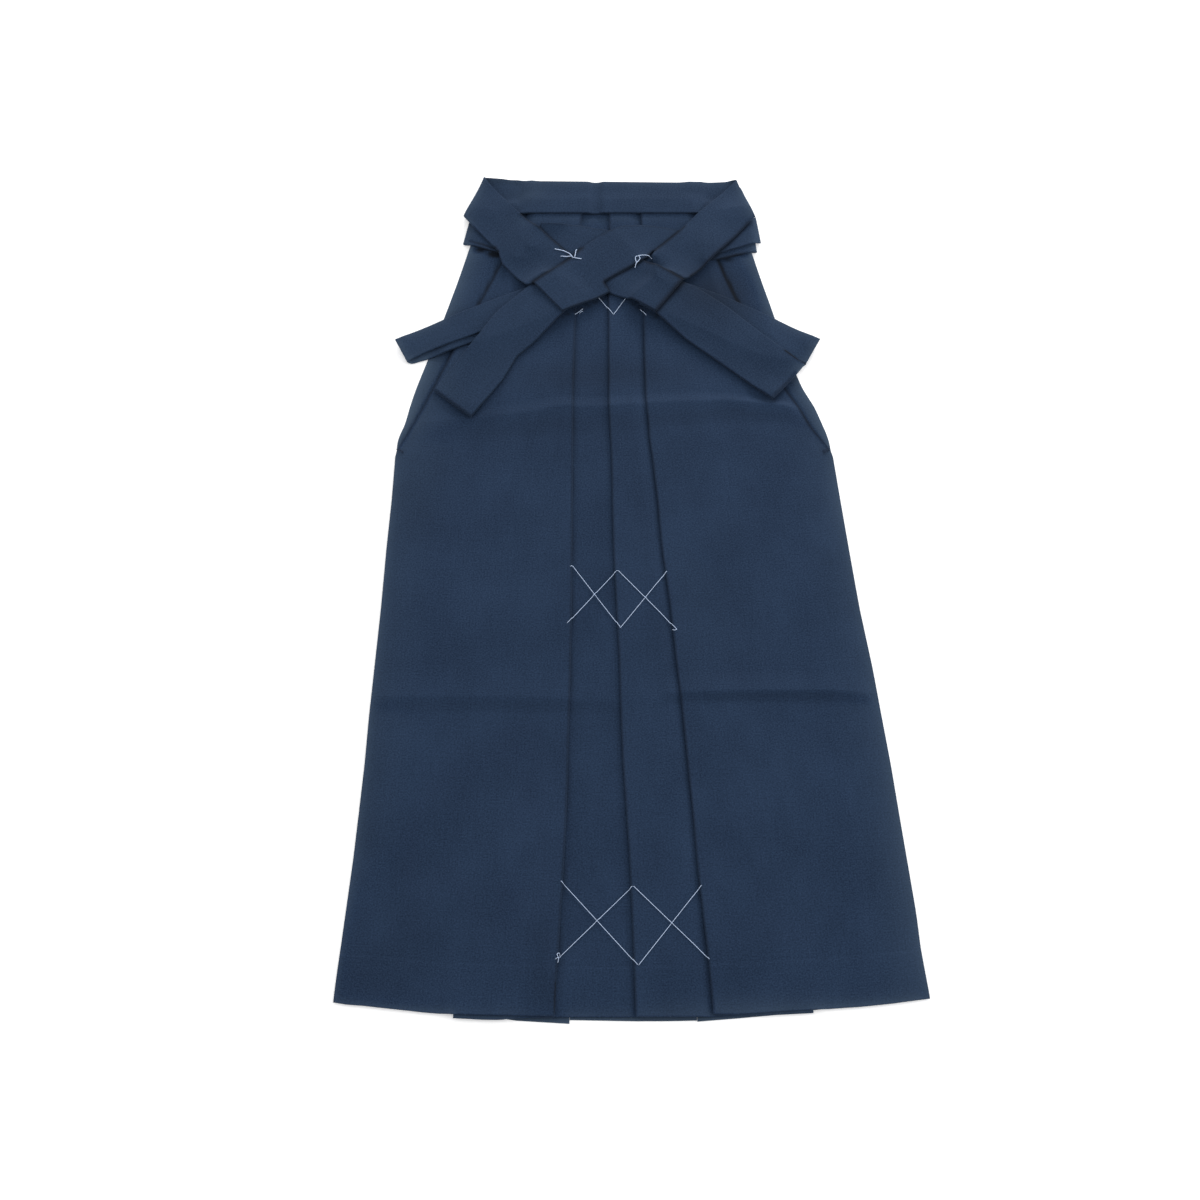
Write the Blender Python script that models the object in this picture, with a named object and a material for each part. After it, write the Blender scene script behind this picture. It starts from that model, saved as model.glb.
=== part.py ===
"""Hakama trousers laid flat, front up.

Pleated front, plain back, and two long ties folded across the waist.
"""

import bmesh
import bpy
import numpy as np

# Driving sizes, in millimetres. The scene is in metres: MM turns one into the other.
MM = 0.001
TO_CENTRE = (0.5, -1.877, 0.0)  # puts the origin under the middle of the garment's box
CLOTH = 1.0  # one thickness of the suiting cloth
TIE = 2.0  # a tie: the cloth folded on itself and pressed
GAP = 0.35  # air between pieces that lie on each other
SOFT = 10.0  # run over which a panel comes down off the edge of one beneath it
CLEAR = 1.5  # how far outside that edge the run starts
LEG = CLOTH + GAP  # what one layer of cloth adds to the pile
MID_DEPTH = 15.0  # how far the middle pleat's inner fold stays from the right pleat's edge
BACK_TIE_BOTTOM, BACK_TIE_LIFT_FROM = 387.0, 345.0
BACK_TIE_TOP, LIFT_BACK_BY = 447.0, 462.0
HEM = -480.0
HEM_BLEND_TOP = -380.0
CELL = 2.0  # cell of the map of heights that the ties are laid over
MAP_X, MAP_Y = (-310.0, 310.0), (-510.0, 510.0)

# Where each lengthwise line of the garment runs: a row for each height y, from the waist down.
# back: the back's side edge. front: the front's side edge, open down to y = 135. fold: a pleat's edge.
# inner: where the cloth inside a pleat turns back. back_mid: the seams of the back's middle panel.
LINE_NAMES = (
    "y", "back_left", "front_left", "inner_left", "fold_left", "fold_mid",
    "fold_right", "inner_right", "front_right", "back_right", "back_mid_left", "back_mid_right",
)
LINE_ROWS = (
    (450, -162, -108, -96, -51, -20, 14, 60, 76, 128, -30, 18),
    (400, -174, -131, -113, -53, -20, 15, 78, 94, 137, -31, 20),
    (372, -182, -143, -121, -55, -21, 16, 88, 104, 144, -32, 21),
    (320, -196, -166, -134, -57, -21, 16, 102, 124, 158, -33, 24),
    (260, -214, -192, -146, -59, -21, 16, 114, 150, 173, -35, 27),
    (212, -230, -213, -152, -60, -21, 17, 121, 170, 189, -36, 29),
    (190, -235, -222, -154, -60, -21, 18, 124, 184, 200, -37, 30),
    (165, -240, -234, -155, -60, -20, 21, 126, 196, 209, -37, 31),
    (150, -247, -241, -155.5, -60, -20, 22, 127, 206, 214, -38, 32),
    (135, -249, -250, -156, -60, -19, 24, 127, 217, 216, -38, 33),
    (75, -251, -252, -155, -60, -18, 30, 127, 224, 223, -40, 36),
    (18, -254, -255, -154, -60, -17, 34, 126.5, 230, 229, -42, 39),
    (-52, -257, -258, -154, -60, -14, 42, 126, 239, 238, -44, 42),
    (-120, -260, -261, -155, -61, -11, 48, 130, 248, 247, -47, 45),
    (-172, -262, -263, -157.5, -62, -10, 53, 137, 254, 253, -49, 48),
    (-225, -265, -266, -160, -63, -8, 57, 144, 260, 259, -51, 51),
    (-275, -268, -269, -162, -64, -5, 61, 150, 265, 264, -52, 53),
    (-325, -271, -272, -164, -66, -2, 64, 156, 270, 269, -54, 55),
    (-380, -276, -277, -166, -69, 0, 69, 162, 275, 274, -56, 57),
    (-422, -279, -280, -167.5, -71, 2, 73, 166, 277, 276, -58, 59),
    (-450, -283, -284, -169, -73, 3, 75, 169, 282, 281, -59, 60),
    (-480, -285, -286, -171, -74, 4, 77, 173, 285, 284, -60, 62),
)
LINES = {name: [row[k] for row in LINE_ROWS] for k, name in enumerate(LINE_NAMES)}

# Where each piece's hem lies across the width: x against y.
HEMS = {
    "front_left": {"x": (-286, -272, -244, -198, -171, -74), "y": (-465, -469, -471, -475, -477, -480)},
    "under_left": {"x": (-171, -122, -74), "y": (-481, -482, -480)},
    "centre": {"x": (-171, 4, 77, 130, 173), "y": (-480, -480, -480, -478, -476)},
    "under_right": {"x": (77, 130, 173), "y": (-478, -477.5, -475.5)},
    "front_right": {"x": (74, 98, 173, 220, 285), "y": (-478, -478, -473.5, -470.5, -461.5)},
    "back_left": {"x": (-286, -198, -171, -122, -60), "y": (-462, -472, -475, -482, -486)},
    "back_middle": {"x": (-60, 62), "y": (-482.5, -483.5)},
    "back_right": {"x": (62, 98, 173, 284), "y": (-484.5, -481, -473, -460)},
}

# Rows of every panel, hem to waist.
ROWS = (
    -480, -450, -415, -380, -310, -240, -160, -80, 0, 75, 135,
    150, 165, 190, 212, 260, 320, 345, 359, 373, 387, 420,
)
BACK_TOP_ROWS = (446,)
FRONT_TOP_ROWS = (447, 462, 478)

# Ties, as patches: a is one long edge and b the other, each a list of x, y pairs taken in step.
FRONT_TIE_LEFT_END = {
    "a": ((-98, 342), (-112.5, 337), (-148.5, 384), (-186, 435)),
    "b": ((-58, 377), (-69, 389), (-118, 438), (-164, 489)),
}
FRONT_BAND = {
    "a": ((-186, 435), (-150, 437), (-118, 438), (65, 438), (80, 438), (143, 433)),
    "b": ((-164, 489), (-130, 487), (-100, 483), (60, 480), (86, 482), (126, 484)),
}
FRONT_TIE_RIGHT_END = {
    "a": ((143, 433), (122.8, 405), (103.2, 379.8), (84.2, 361.8), (67, 347), (56, 341)),
    "b": ((126, 484), (79, 436), (56, 410), (31, 386), (27, 376), (30, 361)),
}
BACK_TIE_LEFT_END = {
    "a": ((-118, 378), (-148, 388), (-183, 400)),
    "b": ((-112, 412), (-144, 424), (-178, 438)),
}
BACK_BAND = {"a": ((-183, 400), (146, 390)), "b": ((-178, 438), (142, 434))}
BACK_TIE_RIGHT_UNDER = {
    "a": ((146, 390), (103, 378), (88, 374)),
    "b": ((142, 434), (104, 422), (90, 416)),
}
BACK_TIE_RIGHT_END = {"a": ((88, 374), (100, 384), (150, 400)), "b": ((90, 416), (100, 424), (146, 437))}
ARM_LEFT_LOW_UNDER = {
    "a": ((-84, 314), (-174, 266), (-220, 245), (-236, 241)),
    "b": ((-94, 340), (-184, 298), (-230, 277), (-251, 268)),
}
ARM_LEFT_LOW_OVER = {
    "a": ((-242, 242), (-222, 252), (-169, 277), (-84, 318)),
    "b": ((-255, 270.5), (-234, 280), (-166, 314), (-94, 346)),
}
ARM_LEFT_HIGH_UNDER = {
    "a": ((-54, 326), (-72, 306), (-104, 268), (-122, 250), (-137, 221), (-171, 172)),
    "b": ((-90, 350), (-110, 334), (-144, 302), (-161, 277), (-177, 255), (-212, 206)),
}
ARM_LEFT_HIGH_OVER = {
    "a": ((-171, 172), (-137, 219), (-122, 249), (-104, 266), (-72, 304), (-54, 324)),
    "b": ((-212, 206), (-179, 255), (-163, 277), (-146, 303), (-112, 336), (-92, 352)),
}
ARM_RIGHT_LOW_UNDER = {
    "a": ((26, 324), (87, 293), (140, 264), (190, 240)),
    "b": ((42, 350), (102, 322), (157, 295), (205, 269)),
}
ARM_RIGHT_LOW_OVER = {
    "a": ((193, 241), (142, 266), (89, 295), (28, 326)),
    "b": ((209.5, 272), (159, 299), (104, 327), (44, 353)),
}
ARM_RIGHT_HIGH_UNDER = {
    "a": ((12, 318), (31, 306), (64, 273), (110, 235), (157, 194)),
    "b": ((42, 350), (78, 331), (108, 309), (145, 275), (193, 238)),
}
ARM_RIGHT_HIGH_OVER = {
    "a": ((157, 194), (110, 233), (63, 271), (31, 304), (12, 316)),
    "b": ((193, 238), (147, 276), (110, 310), (80, 333), (44, 352)),
}
WRAP_UNDER = {
    "a": ((31, 303), (5, 319.5), (-20, 332), (-55, 353), (-84, 374), (-108, 392)),
    "b": ((62, 343), (42, 357), (21, 371), (-20, 415), (-54, 421.5), (-97, 421)),
}
WRAP_OVER = {
    "a": (
        (-72, 303), (-45, 318), (-20, 331.5), (-23.5, 339), (-27, 344.5), (-17, 351),
        (-8, 357), (20, 374.5), (29, 386), (54, 397), (76, 405),
    ),
    "b": (
        (-105, 340), (-88, 353.6), (-78, 362), (-62, 377), (-53, 387), (-44, 395.5),
        (-22, 412), (-5, 421), (14, 422), (34, 420), (60, 414),
    ),
}

COLOURS = {
    "cloth": (0.020, 0.034, 0.070),
    "cloth_inside": (0.018, 0.030, 0.062),
    "tie": (0.021, 0.036, 0.074),
}


def clear_scene():
    for thing in list(bpy.data.objects):
        bpy.data.objects.remove(thing, do_unlink=True)
    for data in list(bpy.data.meshes):
        bpy.data.meshes.remove(data)


def line_at(name, y):
    """x of a lengthwise line at this height. The table runs from the waist down."""
    if name == "inner_mid":
        return line_at("fold_right", y) - MID_DEPTH
    return float(np.interp(y, LINES["y"][::-1], LINES[name][::-1]))


def hem_at(name, x):
    return float(np.interp(x, HEMS[name]["x"], HEMS[name]["y"]))


def ease(start, end, x):
    t = min(1.0, max(0.0, (x - start) / (end - start)))
    return t * t * (3 - 2 * t)


def lift(y):
    """The panels rise where the back tie lies under them."""
    up = ease(BACK_TIE_LIFT_FROM, BACK_TIE_BOTTOM, y)
    return (TIE + GAP) * (up - ease(BACK_TIE_TOP, LIFT_BACK_BY, y))


def under_right_of_mid(x, y):
    """Underside of the centre right strip: on the middle pleat's two layers, then down off them."""
    edge = line_at("inner_mid", y) + CLEAR
    return LEG + 2 * LEG * (1 - ease(edge, edge + SOFT, x))


def under_front_left(x, y):
    edge = line_at("inner_left", y) - CLEAR
    return LEG + 2 * LEG * ease(edge - SOFT, edge, x)


def under_front_right(x, y):
    edge = line_at("inner_right", y) + CLEAR
    return under_right_of_mid(x, y) + 2 * LEG * (1 - ease(edge, edge + SOFT, x))


def blank(rows, columns):
    return np.zeros((rows, columns, 3))


def panel_grid(columns, height, hem, top):
    """Points of one layer of a panel: one row per entry of ROWS and of top, with x from columns(y)."""
    heights = ROWS + top
    grid = blank(len(heights), len(columns(0.0)))
    for j, y in enumerate(heights):
        for i, x in enumerate(columns(y)):
            share = max(0.0, (HEM_BLEND_TOP - y) / (HEM_BLEND_TOP - HEM))
            down = y + (hem_at(hem, x) - HEM) * share
            grid[j, i] = (x, down, height(x, y) + lift(y))
    return grid


def spread(start, end, count):
    return [start + (end - start) * k / count for k in range(count + 1)]


def patch_grid(patch, step, across):
    """Points of one layer of a tie: rows at most step apart along it, across + 1 points in each."""
    a, b = np.array(patch["a"], float), np.array(patch["b"], float)
    rows = [(a[0], b[0])]
    for k in range(len(a) - 1):
        run = max(np.linalg.norm(a[k + 1] - a[k]), np.linalg.norm(b[k + 1] - b[k]))
        parts = max(1, int(np.ceil(run / step)))
        for part in range(1, parts + 1):
            t = part / parts
            rows.append((a[k] * (1 - t) + a[k + 1] * t, b[k] * (1 - t) + b[k + 1] * t))
    grid = blank(len(rows), across + 1)
    for j, (left, right) in enumerate(rows):
        for i in range(across + 1):
            t = i / across
            grid[j, i, :2] = left * (1 - t) + right * t
    return grid


# The map of heights: how high the pile is over each cell of the floor.
MAP_SIZE = (int((MAP_X[1] - MAP_X[0]) / CELL), int((MAP_Y[1] - MAP_Y[0]) / CELL))
MAP_CORNER = np.array((MAP_X[0], MAP_Y[0]))
pile = np.zeros(MAP_SIZE)


def each_cell(grid):
    """For each triangle of a layer: the cells whose middle is in it, and the layer's height there."""
    rows, columns = grid.shape[:2]
    for j in range(rows - 1):
        for i in range(columns - 1):
            corners = (grid[j, i], grid[j, i + 1], grid[j + 1, i + 1], grid[j + 1, i])
            for three in ((0, 1, 2), (0, 2, 3)):
                p, q, r = (corners[k] for k in three)
                area = (q[0] - p[0]) * (r[1] - p[1]) - (r[0] - p[0]) * (q[1] - p[1])
                if abs(area) < 1e-6:
                    continue
                least = np.minimum(np.minimum(p, q), r)[:2]
                most = np.maximum(np.maximum(p, q), r)[:2]
                low = np.floor((least - MAP_CORNER) / CELL).astype(int) - 1
                high = np.ceil((most - MAP_CORNER) / CELL).astype(int) + 1
                columns_of, rows_of = np.arange(low[0], high[0]), np.arange(low[1], high[1])
                ii, jj = np.meshgrid(columns_of, rows_of, indexing="ij")
                x = MAP_X[0] + (ii + 0.5) * CELL
                y = MAP_Y[0] + (jj + 0.5) * CELL
                wq = ((x - p[0]) * (r[1] - p[1]) - (r[0] - p[0]) * (y - p[1])) / area
                wr = ((q[0] - p[0]) * (y - p[1]) - (x - p[0]) * (q[1] - p[1])) / area
                inside = (wq >= -0.02) & (wr >= -0.02) & (wq + wr <= 1.02)
                yield ii[inside], jj[inside], (p[2] + wq * (q[2] - p[2]) + wr * (r[2] - p[2]))[inside]


def stamp(grid, thickness):
    """Adds a layer to the map, from the height of its underside and its thickness."""
    for ii, jj, z in each_cell(grid):
        pile[ii, jj] = np.maximum(pile[ii, jj], z + thickness)


def spread_highest(field, cells):
    out = field.copy()
    for di in range(-cells, cells + 1):
        for dj in range(-cells, cells + 1):
            if di * di + dj * dj <= cells * cells + 1:
                out = np.maximum(out, np.roll(np.roll(field, di, 0), dj, 1))
    return out


def softened(need, mask, rounds):
    """A taut cloth over the heights it needs: never under them, and smooth between."""
    z = np.where(mask, need, 0.0)
    weight = mask.astype(float)
    for _ in range(rounds):
        total, count = np.zeros_like(z), np.zeros_like(z)
        for di in (-1, 0, 1):
            for dj in (-1, 0, 1):
                total += np.roll(np.roll(z * weight, di, 0), dj, 1)
                count += np.roll(np.roll(weight, di, 0), dj, 1)
        z = np.where(mask, np.maximum(need, total / np.maximum(count, 1.0)), 0.0)
    return z


def lay(grid, thickness, rounds=14, reach=3):
    """Sets a layer's heights so that it lies on the pile, then adds it to the pile."""
    mask = np.zeros(MAP_SIZE, bool)
    for ii, jj, _ in each_cell(grid):
        mask[ii, jj] = True
    mask = spread_highest(mask.astype(float), 3) > 0
    z = softened(spread_highest(pile, reach), mask, rounds)
    fx = (grid[:, :, 0] - MAP_X[0]) / CELL - 0.5
    fy = (grid[:, :, 1] - MAP_Y[0]) / CELL - 0.5
    i, j = np.floor(fx).astype(int), np.floor(fy).astype(int)
    u, v = fx - i, fy - j
    low = z[i, j] * (1 - u) + z[i + 1, j] * u
    high = z[i, j + 1] * (1 - u) + z[i + 1, j + 1] * u
    grid[:, :, 2] = low * (1 - v) + high * v + GAP
    stamp(grid, thickness)
    return grid


def turned(first, second, thickness, inner):
    """The points of the turn between two layers, the last row of one and the first row of the next."""
    out = []
    below, above = (first, second) if second[:, 2].mean() > first[:, 2].mean() else (second, first)
    for angle in (45.0, 90.0, 135.0) if below is first else (135.0, 90.0, 45.0):
        t = angle / 180.0
        base = below[:, :2] * (1 - t) + above[:, :2] * t
        low = below[:, 2] + (thickness if inner else 0.0)
        high = above[:, 2] + (0.0 if inner else thickness)
        a = np.radians(angle)
        points = np.column_stack([base, (low + high) / 2 - (high - low) / 2 * np.cos(a)])
        bulge = GAP / 2 + (0.0 if inner else thickness)
        out.append((points, bulge * np.sin(a)))
    return out


def folded(layers, thickness):
    """Outer and inner faces of a strip of cloth whose layers fold onto one another in turn."""
    outer, inner = [], []
    top_out = False
    if len(layers) > 1:
        top_out = layers[0][-1, :, 2].mean() > layers[1][0, :, 2].mean()
    for k, layer in enumerate(layers):
        layer = layer.copy()
        raised = layer + np.array([0.0, 0.0, thickness])
        outer.extend(list(raised if top_out else layer))
        inner.extend(list(layer if top_out else raised))
        if k + 1 < len(layers):
            ahead = layer[-1, :, :2] - layer[-2, :, :2]
            ahead /= np.linalg.norm(ahead, axis=1)[:, None]
            rising = layers[k + 1][0, :, 2].mean() > layer[-1, :, 2].mean()
            turned_in = top_out == rising
            for faces, is_inner in ((outer, turned_in), (inner, not turned_in)):
                for points, bulge in turned(layer[-1], layers[k + 1][0], thickness, is_inner):
                    points[:, :2] += ahead * bulge
                    faces.append(points)
            top_out = not top_out
    return np.array(outer), np.array(inner)


def shortened(layer, start, end):
    """The layer with an end row drawn in, so that the turn beyond it ends on the line given."""
    layer = layer.copy()
    if end:
        back = layer[-2, :, :2] - layer[-1, :, :2]
        layer[-1, :, :2] += back / np.linalg.norm(back, axis=1)[:, None] * end
    if start:
        ahead = layer[1, :, :2] - layer[0, :, :2]
        layer[0, :, :2] += ahead / np.linalg.norm(ahead, axis=1)[:, None] * start
    return layer


def make(name, layers, thickness, colour):
    """One closed solid from the layers of a piece."""
    outer, inner = folded(layers, thickness)
    rows, columns = outer.shape[:2]
    points = (np.concatenate([outer.reshape(-1, 3), inner.reshape(-1, 3)]) + TO_CENTRE) * MM
    back = rows * columns
    faces = []
    for j in range(rows - 1):
        for i in range(columns - 1):
            a, b = j * columns + i, j * columns + i + 1
            c, d = b + columns, a + columns
            faces.append((a, b, c, d))
            faces.append((back + d, back + c, back + b, back + a))
    for j in range(rows - 1):
        a, b = j * columns, (j + 1) * columns
        faces.append((a, b, back + b, back + a))
        a, b = a + columns - 1, b + columns - 1
        faces.append((back + a, back + b, b, a))
    for i in range(columns - 1):
        a, b = i, i + 1
        faces.append((back + a, back + b, b, a))
        a, b = a + (rows - 1) * columns, b + (rows - 1) * columns
        faces.append((a, b, back + b, back + a))
    mesh = bpy.data.meshes.new(name)
    mesh.from_pydata([tuple(p) for p in points], [], faces)
    work = bmesh.new()
    work.from_mesh(mesh)
    bmesh.ops.recalc_face_normals(work, faces=work.faces)
    if work.calc_volume(signed=True) < 0:
        bmesh.ops.reverse_faces(work, faces=work.faces)
    work.to_mesh(mesh)
    work.free()
    thing = bpy.data.objects.new(name, mesh)
    bpy.context.scene.collection.objects.link(thing)
    material = bpy.data.materials.new(name)
    material.use_nodes = True
    shader = material.node_tree.nodes["Principled BSDF"]
    shader.inputs["Base Color"].default_value = (*COLOURS[colour], 1.0)
    shader.inputs["Roughness"].default_value = 0.9
    mesh.materials.append(material)
    return thing


def across(grid):
    """A panel's grid with its rows running lengthwise, as a pleat folds about a lengthwise line."""
    return np.transpose(grid, (1, 0, 2)).copy()


clear_scene()

# Back: three panels edge to edge, flat on the floor.
back_left = panel_grid(
    lambda y: spread(line_at("back_left", y), line_at("back_mid_left", y) - GAP / 2, 6),
    lambda x, y: 0.0, "back_left", BACK_TOP_ROWS,
)
back_middle = panel_grid(
    lambda y: spread(line_at("back_mid_left", y) + GAP / 2, line_at("back_mid_right", y) - GAP / 2, 4),
    lambda x, y: 0.0, "back_middle", BACK_TOP_ROWS,
)
back_right = panel_grid(
    lambda y: spread(line_at("back_mid_right", y) + GAP / 2, line_at("back_right", y), 6),
    lambda x, y: 0.0, "back_right", BACK_TOP_ROWS,
)

# Front: a run of knife pleats. Each piece is seamed to the one before it inside a pleat.
TURN = LEG - GAP / 2  # half the thickness of a pleat's edge


def centre_left_columns(y):
    return spread(line_at("inner_left", y), line_at("inner_mid", y), 8)


def left_under_columns(y):
    return spread(line_at("inner_left", y), line_at("fold_left", y) - TURN, 5)


def left_over_columns(y):
    inner, outer = line_at("inner_left", y) - CLEAR, line_at("front_left", y)
    run = inner - SOFT
    return (
        spread(line_at("fold_left", y) - TURN, inner, 4)
        + [inner - SOFT / 2]
        + spread(run, outer, 4)
    )


def mid_under_columns(y):
    return spread(line_at("inner_mid", y), line_at("fold_mid", y) + TURN, 3)


def mid_over_columns(y):
    edge = line_at("inner_mid", y) + CLEAR
    return (
        spread(line_at("fold_mid", y) + TURN, edge, 3)
        + [edge + SOFT / 2]
        + spread(edge + SOFT, line_at("inner_right", y), 5)
    )


def right_under_columns(y):
    return spread(line_at("inner_right", y), line_at("fold_right", y) + TURN, 5)


def right_over_columns(y):
    edge = line_at("inner_right", y) + CLEAR
    return (
        spread(line_at("fold_right", y) + TURN, edge, 4)
        + [edge + SOFT / 2]
        + spread(edge + SOFT, line_at("front_right", y), 4)
    )


centre_left = panel_grid(centre_left_columns, lambda x, y: LEG, "centre", FRONT_TOP_ROWS)
left_under = panel_grid(left_under_columns, lambda x, y: 2 * LEG, "under_left", FRONT_TOP_ROWS)
left_over = panel_grid(left_over_columns, under_front_left, "front_left", FRONT_TOP_ROWS)
mid_under = panel_grid(mid_under_columns, lambda x, y: 2 * LEG, "centre", FRONT_TOP_ROWS)
mid_over = panel_grid(mid_over_columns, under_right_of_mid, "centre", FRONT_TOP_ROWS)
right_under = panel_grid(
    right_under_columns, lambda x, y: under_right_of_mid(x, y) + LEG, "under_right", FRONT_TOP_ROWS
)
right_over = panel_grid(right_over_columns, under_front_right, "front_right", FRONT_TOP_ROWS)

make("back_panel_left", [across(back_left)], CLOTH, "cloth_inside")
make("back_panel_middle", [across(back_middle)], CLOTH, "cloth_inside")
make("back_panel_right", [across(back_right)], CLOTH, "cloth_inside")
make("front_strip_centre_left", [across(centre_left)], CLOTH, "cloth")
make("front_panel_left", [across(left_under), across(left_over)], CLOTH, "cloth")
make("front_strip_centre_right", [across(mid_under), across(mid_over)], CLOTH, "cloth")
make("front_panel_right", [across(right_under), across(right_over)], CLOTH, "cloth")
for grid in (
    back_left, back_middle, back_right, centre_left, left_under, left_over,
    mid_under, mid_over, right_under, right_over,
):
    stamp(grid, CLOTH)

# Back tie: its middle lies under the back's top edge, and both ends come round the sides onto the front.
TIE_TURN = TIE + GAP / 2
back_band = patch_grid(BACK_BAND, 40.0, 4)
back_end_left = lay(shortened(patch_grid(BACK_TIE_LEFT_END, 8.0, 4), 0, TIE_TURN), TIE)
back_right_under = lay(shortened(patch_grid(BACK_TIE_RIGHT_UNDER, 8.0, 4), TIE_TURN, TIE_TURN), TIE)
back_end_right = lay(shortened(patch_grid(BACK_TIE_RIGHT_END, 8.0, 4), TIE_TURN, 0), TIE)
make(
    "back_tie",
    [back_end_left, shortened(back_band, TIE_TURN, TIE_TURN), back_right_under, back_end_right],
    TIE, "tie",
)

# Front band: the middle of the front tie, over the pleats' top edge.
front_band = lay(shortened(patch_grid(FRONT_BAND, 18.0, 6), TIE_TURN, TIE_TURN), TIE, 14, 6)

# The four arms: each a length of tie folded back on itself at its tip.
LIFT_OF_FOLD = TIE + GAP
ARMS = (
    ("arm_left_low", ARM_LEFT_LOW_UNDER, ARM_LEFT_LOW_OVER, 3),
    ("arm_right_low", ARM_RIGHT_LOW_UNDER, ARM_RIGHT_LOW_OVER, 3),
    ("arm_left_high", ARM_LEFT_HIGH_UNDER, ARM_LEFT_HIGH_OVER, 5),
    ("arm_right_high", ARM_RIGHT_HIGH_UNDER, ARM_RIGHT_HIGH_OVER, 5),
)
for arm_name, arm_under, arm_over, arm_across in ARMS:
    under = lay(shortened(patch_grid(arm_under, 10.0, arm_across), 0, TIE_TURN), TIE, 14, 4)
    over = lay(shortened(patch_grid(arm_over, 10.0, arm_across), TIE_TURN, 0), TIE, 14, 4)
    over[0, :, 2] = np.maximum(over[0, :, 2], under[-1, :, 2] + LIFT_OF_FOLD)
    make(arm_name, [under, over], TIE, "tie")

# Across the middle: the right end of the front tie goes under one wrap and over the other.


def reach_of(grid):
    """Cells that a layer covers."""
    mask = np.zeros(MAP_SIZE, bool)
    for ii, jj, _ in each_cell(grid):
        mask[ii, jj] = True
    return np.argwhere(mask) * CELL + (MAP_X[0] + CELL / 2, MAP_Y[0] + CELL / 2)


def distance_to(cells, x, y):
    return float(np.sqrt(((cells - (x, y)) ** 2).sum(axis=1)).min())


right_end = shortened(patch_grid(FRONT_TIE_RIGHT_END, 7.0, 6), TIE_TURN, 0)
wrap_under = patch_grid(WRAP_UNDER, 7.5, 6)
wrap_over = patch_grid(WRAP_OVER, 7.5, 6)
under_cells, over_cells = reach_of(wrap_under), reach_of(wrap_over)
low_rows = [j for j in range(len(right_end)) if right_end[j, -1, 1] < 374 and right_end[j, 0, 1] < 352]
low_part = right_end[low_rows[0]:].copy()
low_all = right_end.copy()
held = pile.copy()
lay(low_all, TIE, 14, 4)
pile[:] = held
low_part[:, :, 2] = low_all[low_rows[0]:, :, 2]
stamp(low_part, TIE)
lay(wrap_under, TIE, 14, 4)
make("tie_wrap_under", [wrap_under], TIE, "tie")
left_end = lay(shortened(patch_grid(FRONT_TIE_LEFT_END, 7.5, 6), 0, TIE_TURN), TIE, 14, 4)
lay(wrap_over, TIE, 14, 4)
make("tie_wrap_over", [wrap_over], TIE, "tie")
high_all = right_end.copy()
lay(high_all, TIE, 14, 4)
for j in range(len(right_end)):
    for i in range(7):
        x, y = right_end[j, i, :2]
        from_over = max(0.0, distance_to(over_cells, x, y) - 4.0)
        from_under = max(0.0, distance_to(under_cells, x, y) - 4.0)
        down = ease(0.0, 1.0, from_over / max(from_over + from_under, 1e-6)) if y < 410 else 0.0
        right_end[j, i, 2] = high_all[j, i, 2] * (1 - down) + low_all[j, i, 2] * down
make("front_tie", [left_end, front_band, right_end], TIE, "tie")
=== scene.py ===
"""Hakama trousers in navy suiting, laid flat and front up, with their ties folded over the waist."""

import math

import bpy
import numpy as np
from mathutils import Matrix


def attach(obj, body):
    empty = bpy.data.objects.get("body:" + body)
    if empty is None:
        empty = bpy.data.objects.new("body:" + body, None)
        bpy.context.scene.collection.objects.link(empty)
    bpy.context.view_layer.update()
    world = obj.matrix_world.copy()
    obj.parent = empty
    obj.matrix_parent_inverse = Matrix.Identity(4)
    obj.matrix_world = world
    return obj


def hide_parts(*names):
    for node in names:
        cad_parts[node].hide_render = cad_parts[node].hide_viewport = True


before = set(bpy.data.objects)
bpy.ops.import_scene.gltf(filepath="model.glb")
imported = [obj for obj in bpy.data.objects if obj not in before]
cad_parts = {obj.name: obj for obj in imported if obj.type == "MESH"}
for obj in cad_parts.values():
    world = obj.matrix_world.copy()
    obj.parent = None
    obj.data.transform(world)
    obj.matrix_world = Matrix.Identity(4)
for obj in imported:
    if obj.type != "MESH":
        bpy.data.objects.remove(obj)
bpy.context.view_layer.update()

# ---------------------------------------------------------------------------------------------
# Back of the trousers: three widths of worsted suiting, seamed edge to edge and pressed flat.
# The whole garment lies on them, and they show at the sides, beside the front's open edges.
# ---------------------------------------------------------------------------------------------
# Lengths are in millimetres: x runs to the right as the garment lies, and y from hem to waist.
MM = 0.001
TO_CENTRE = np.array((0.5, -1.877, 0.0))
# One thickness of cloth, the air between folded layers, and the height that a layer takes up.
CLOTH = 0.9
AIR = 0.4
LAYER = 1.35
# Where the panels' straight hem is before it is drawn to its true line, and from what height.
HEM = -480.0
HEM_BLEND_TOP = -380.0
# A pressed tie's thickness, and the air under it.
TIE = 2.0
TIE_AIR = 0.35

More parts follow.
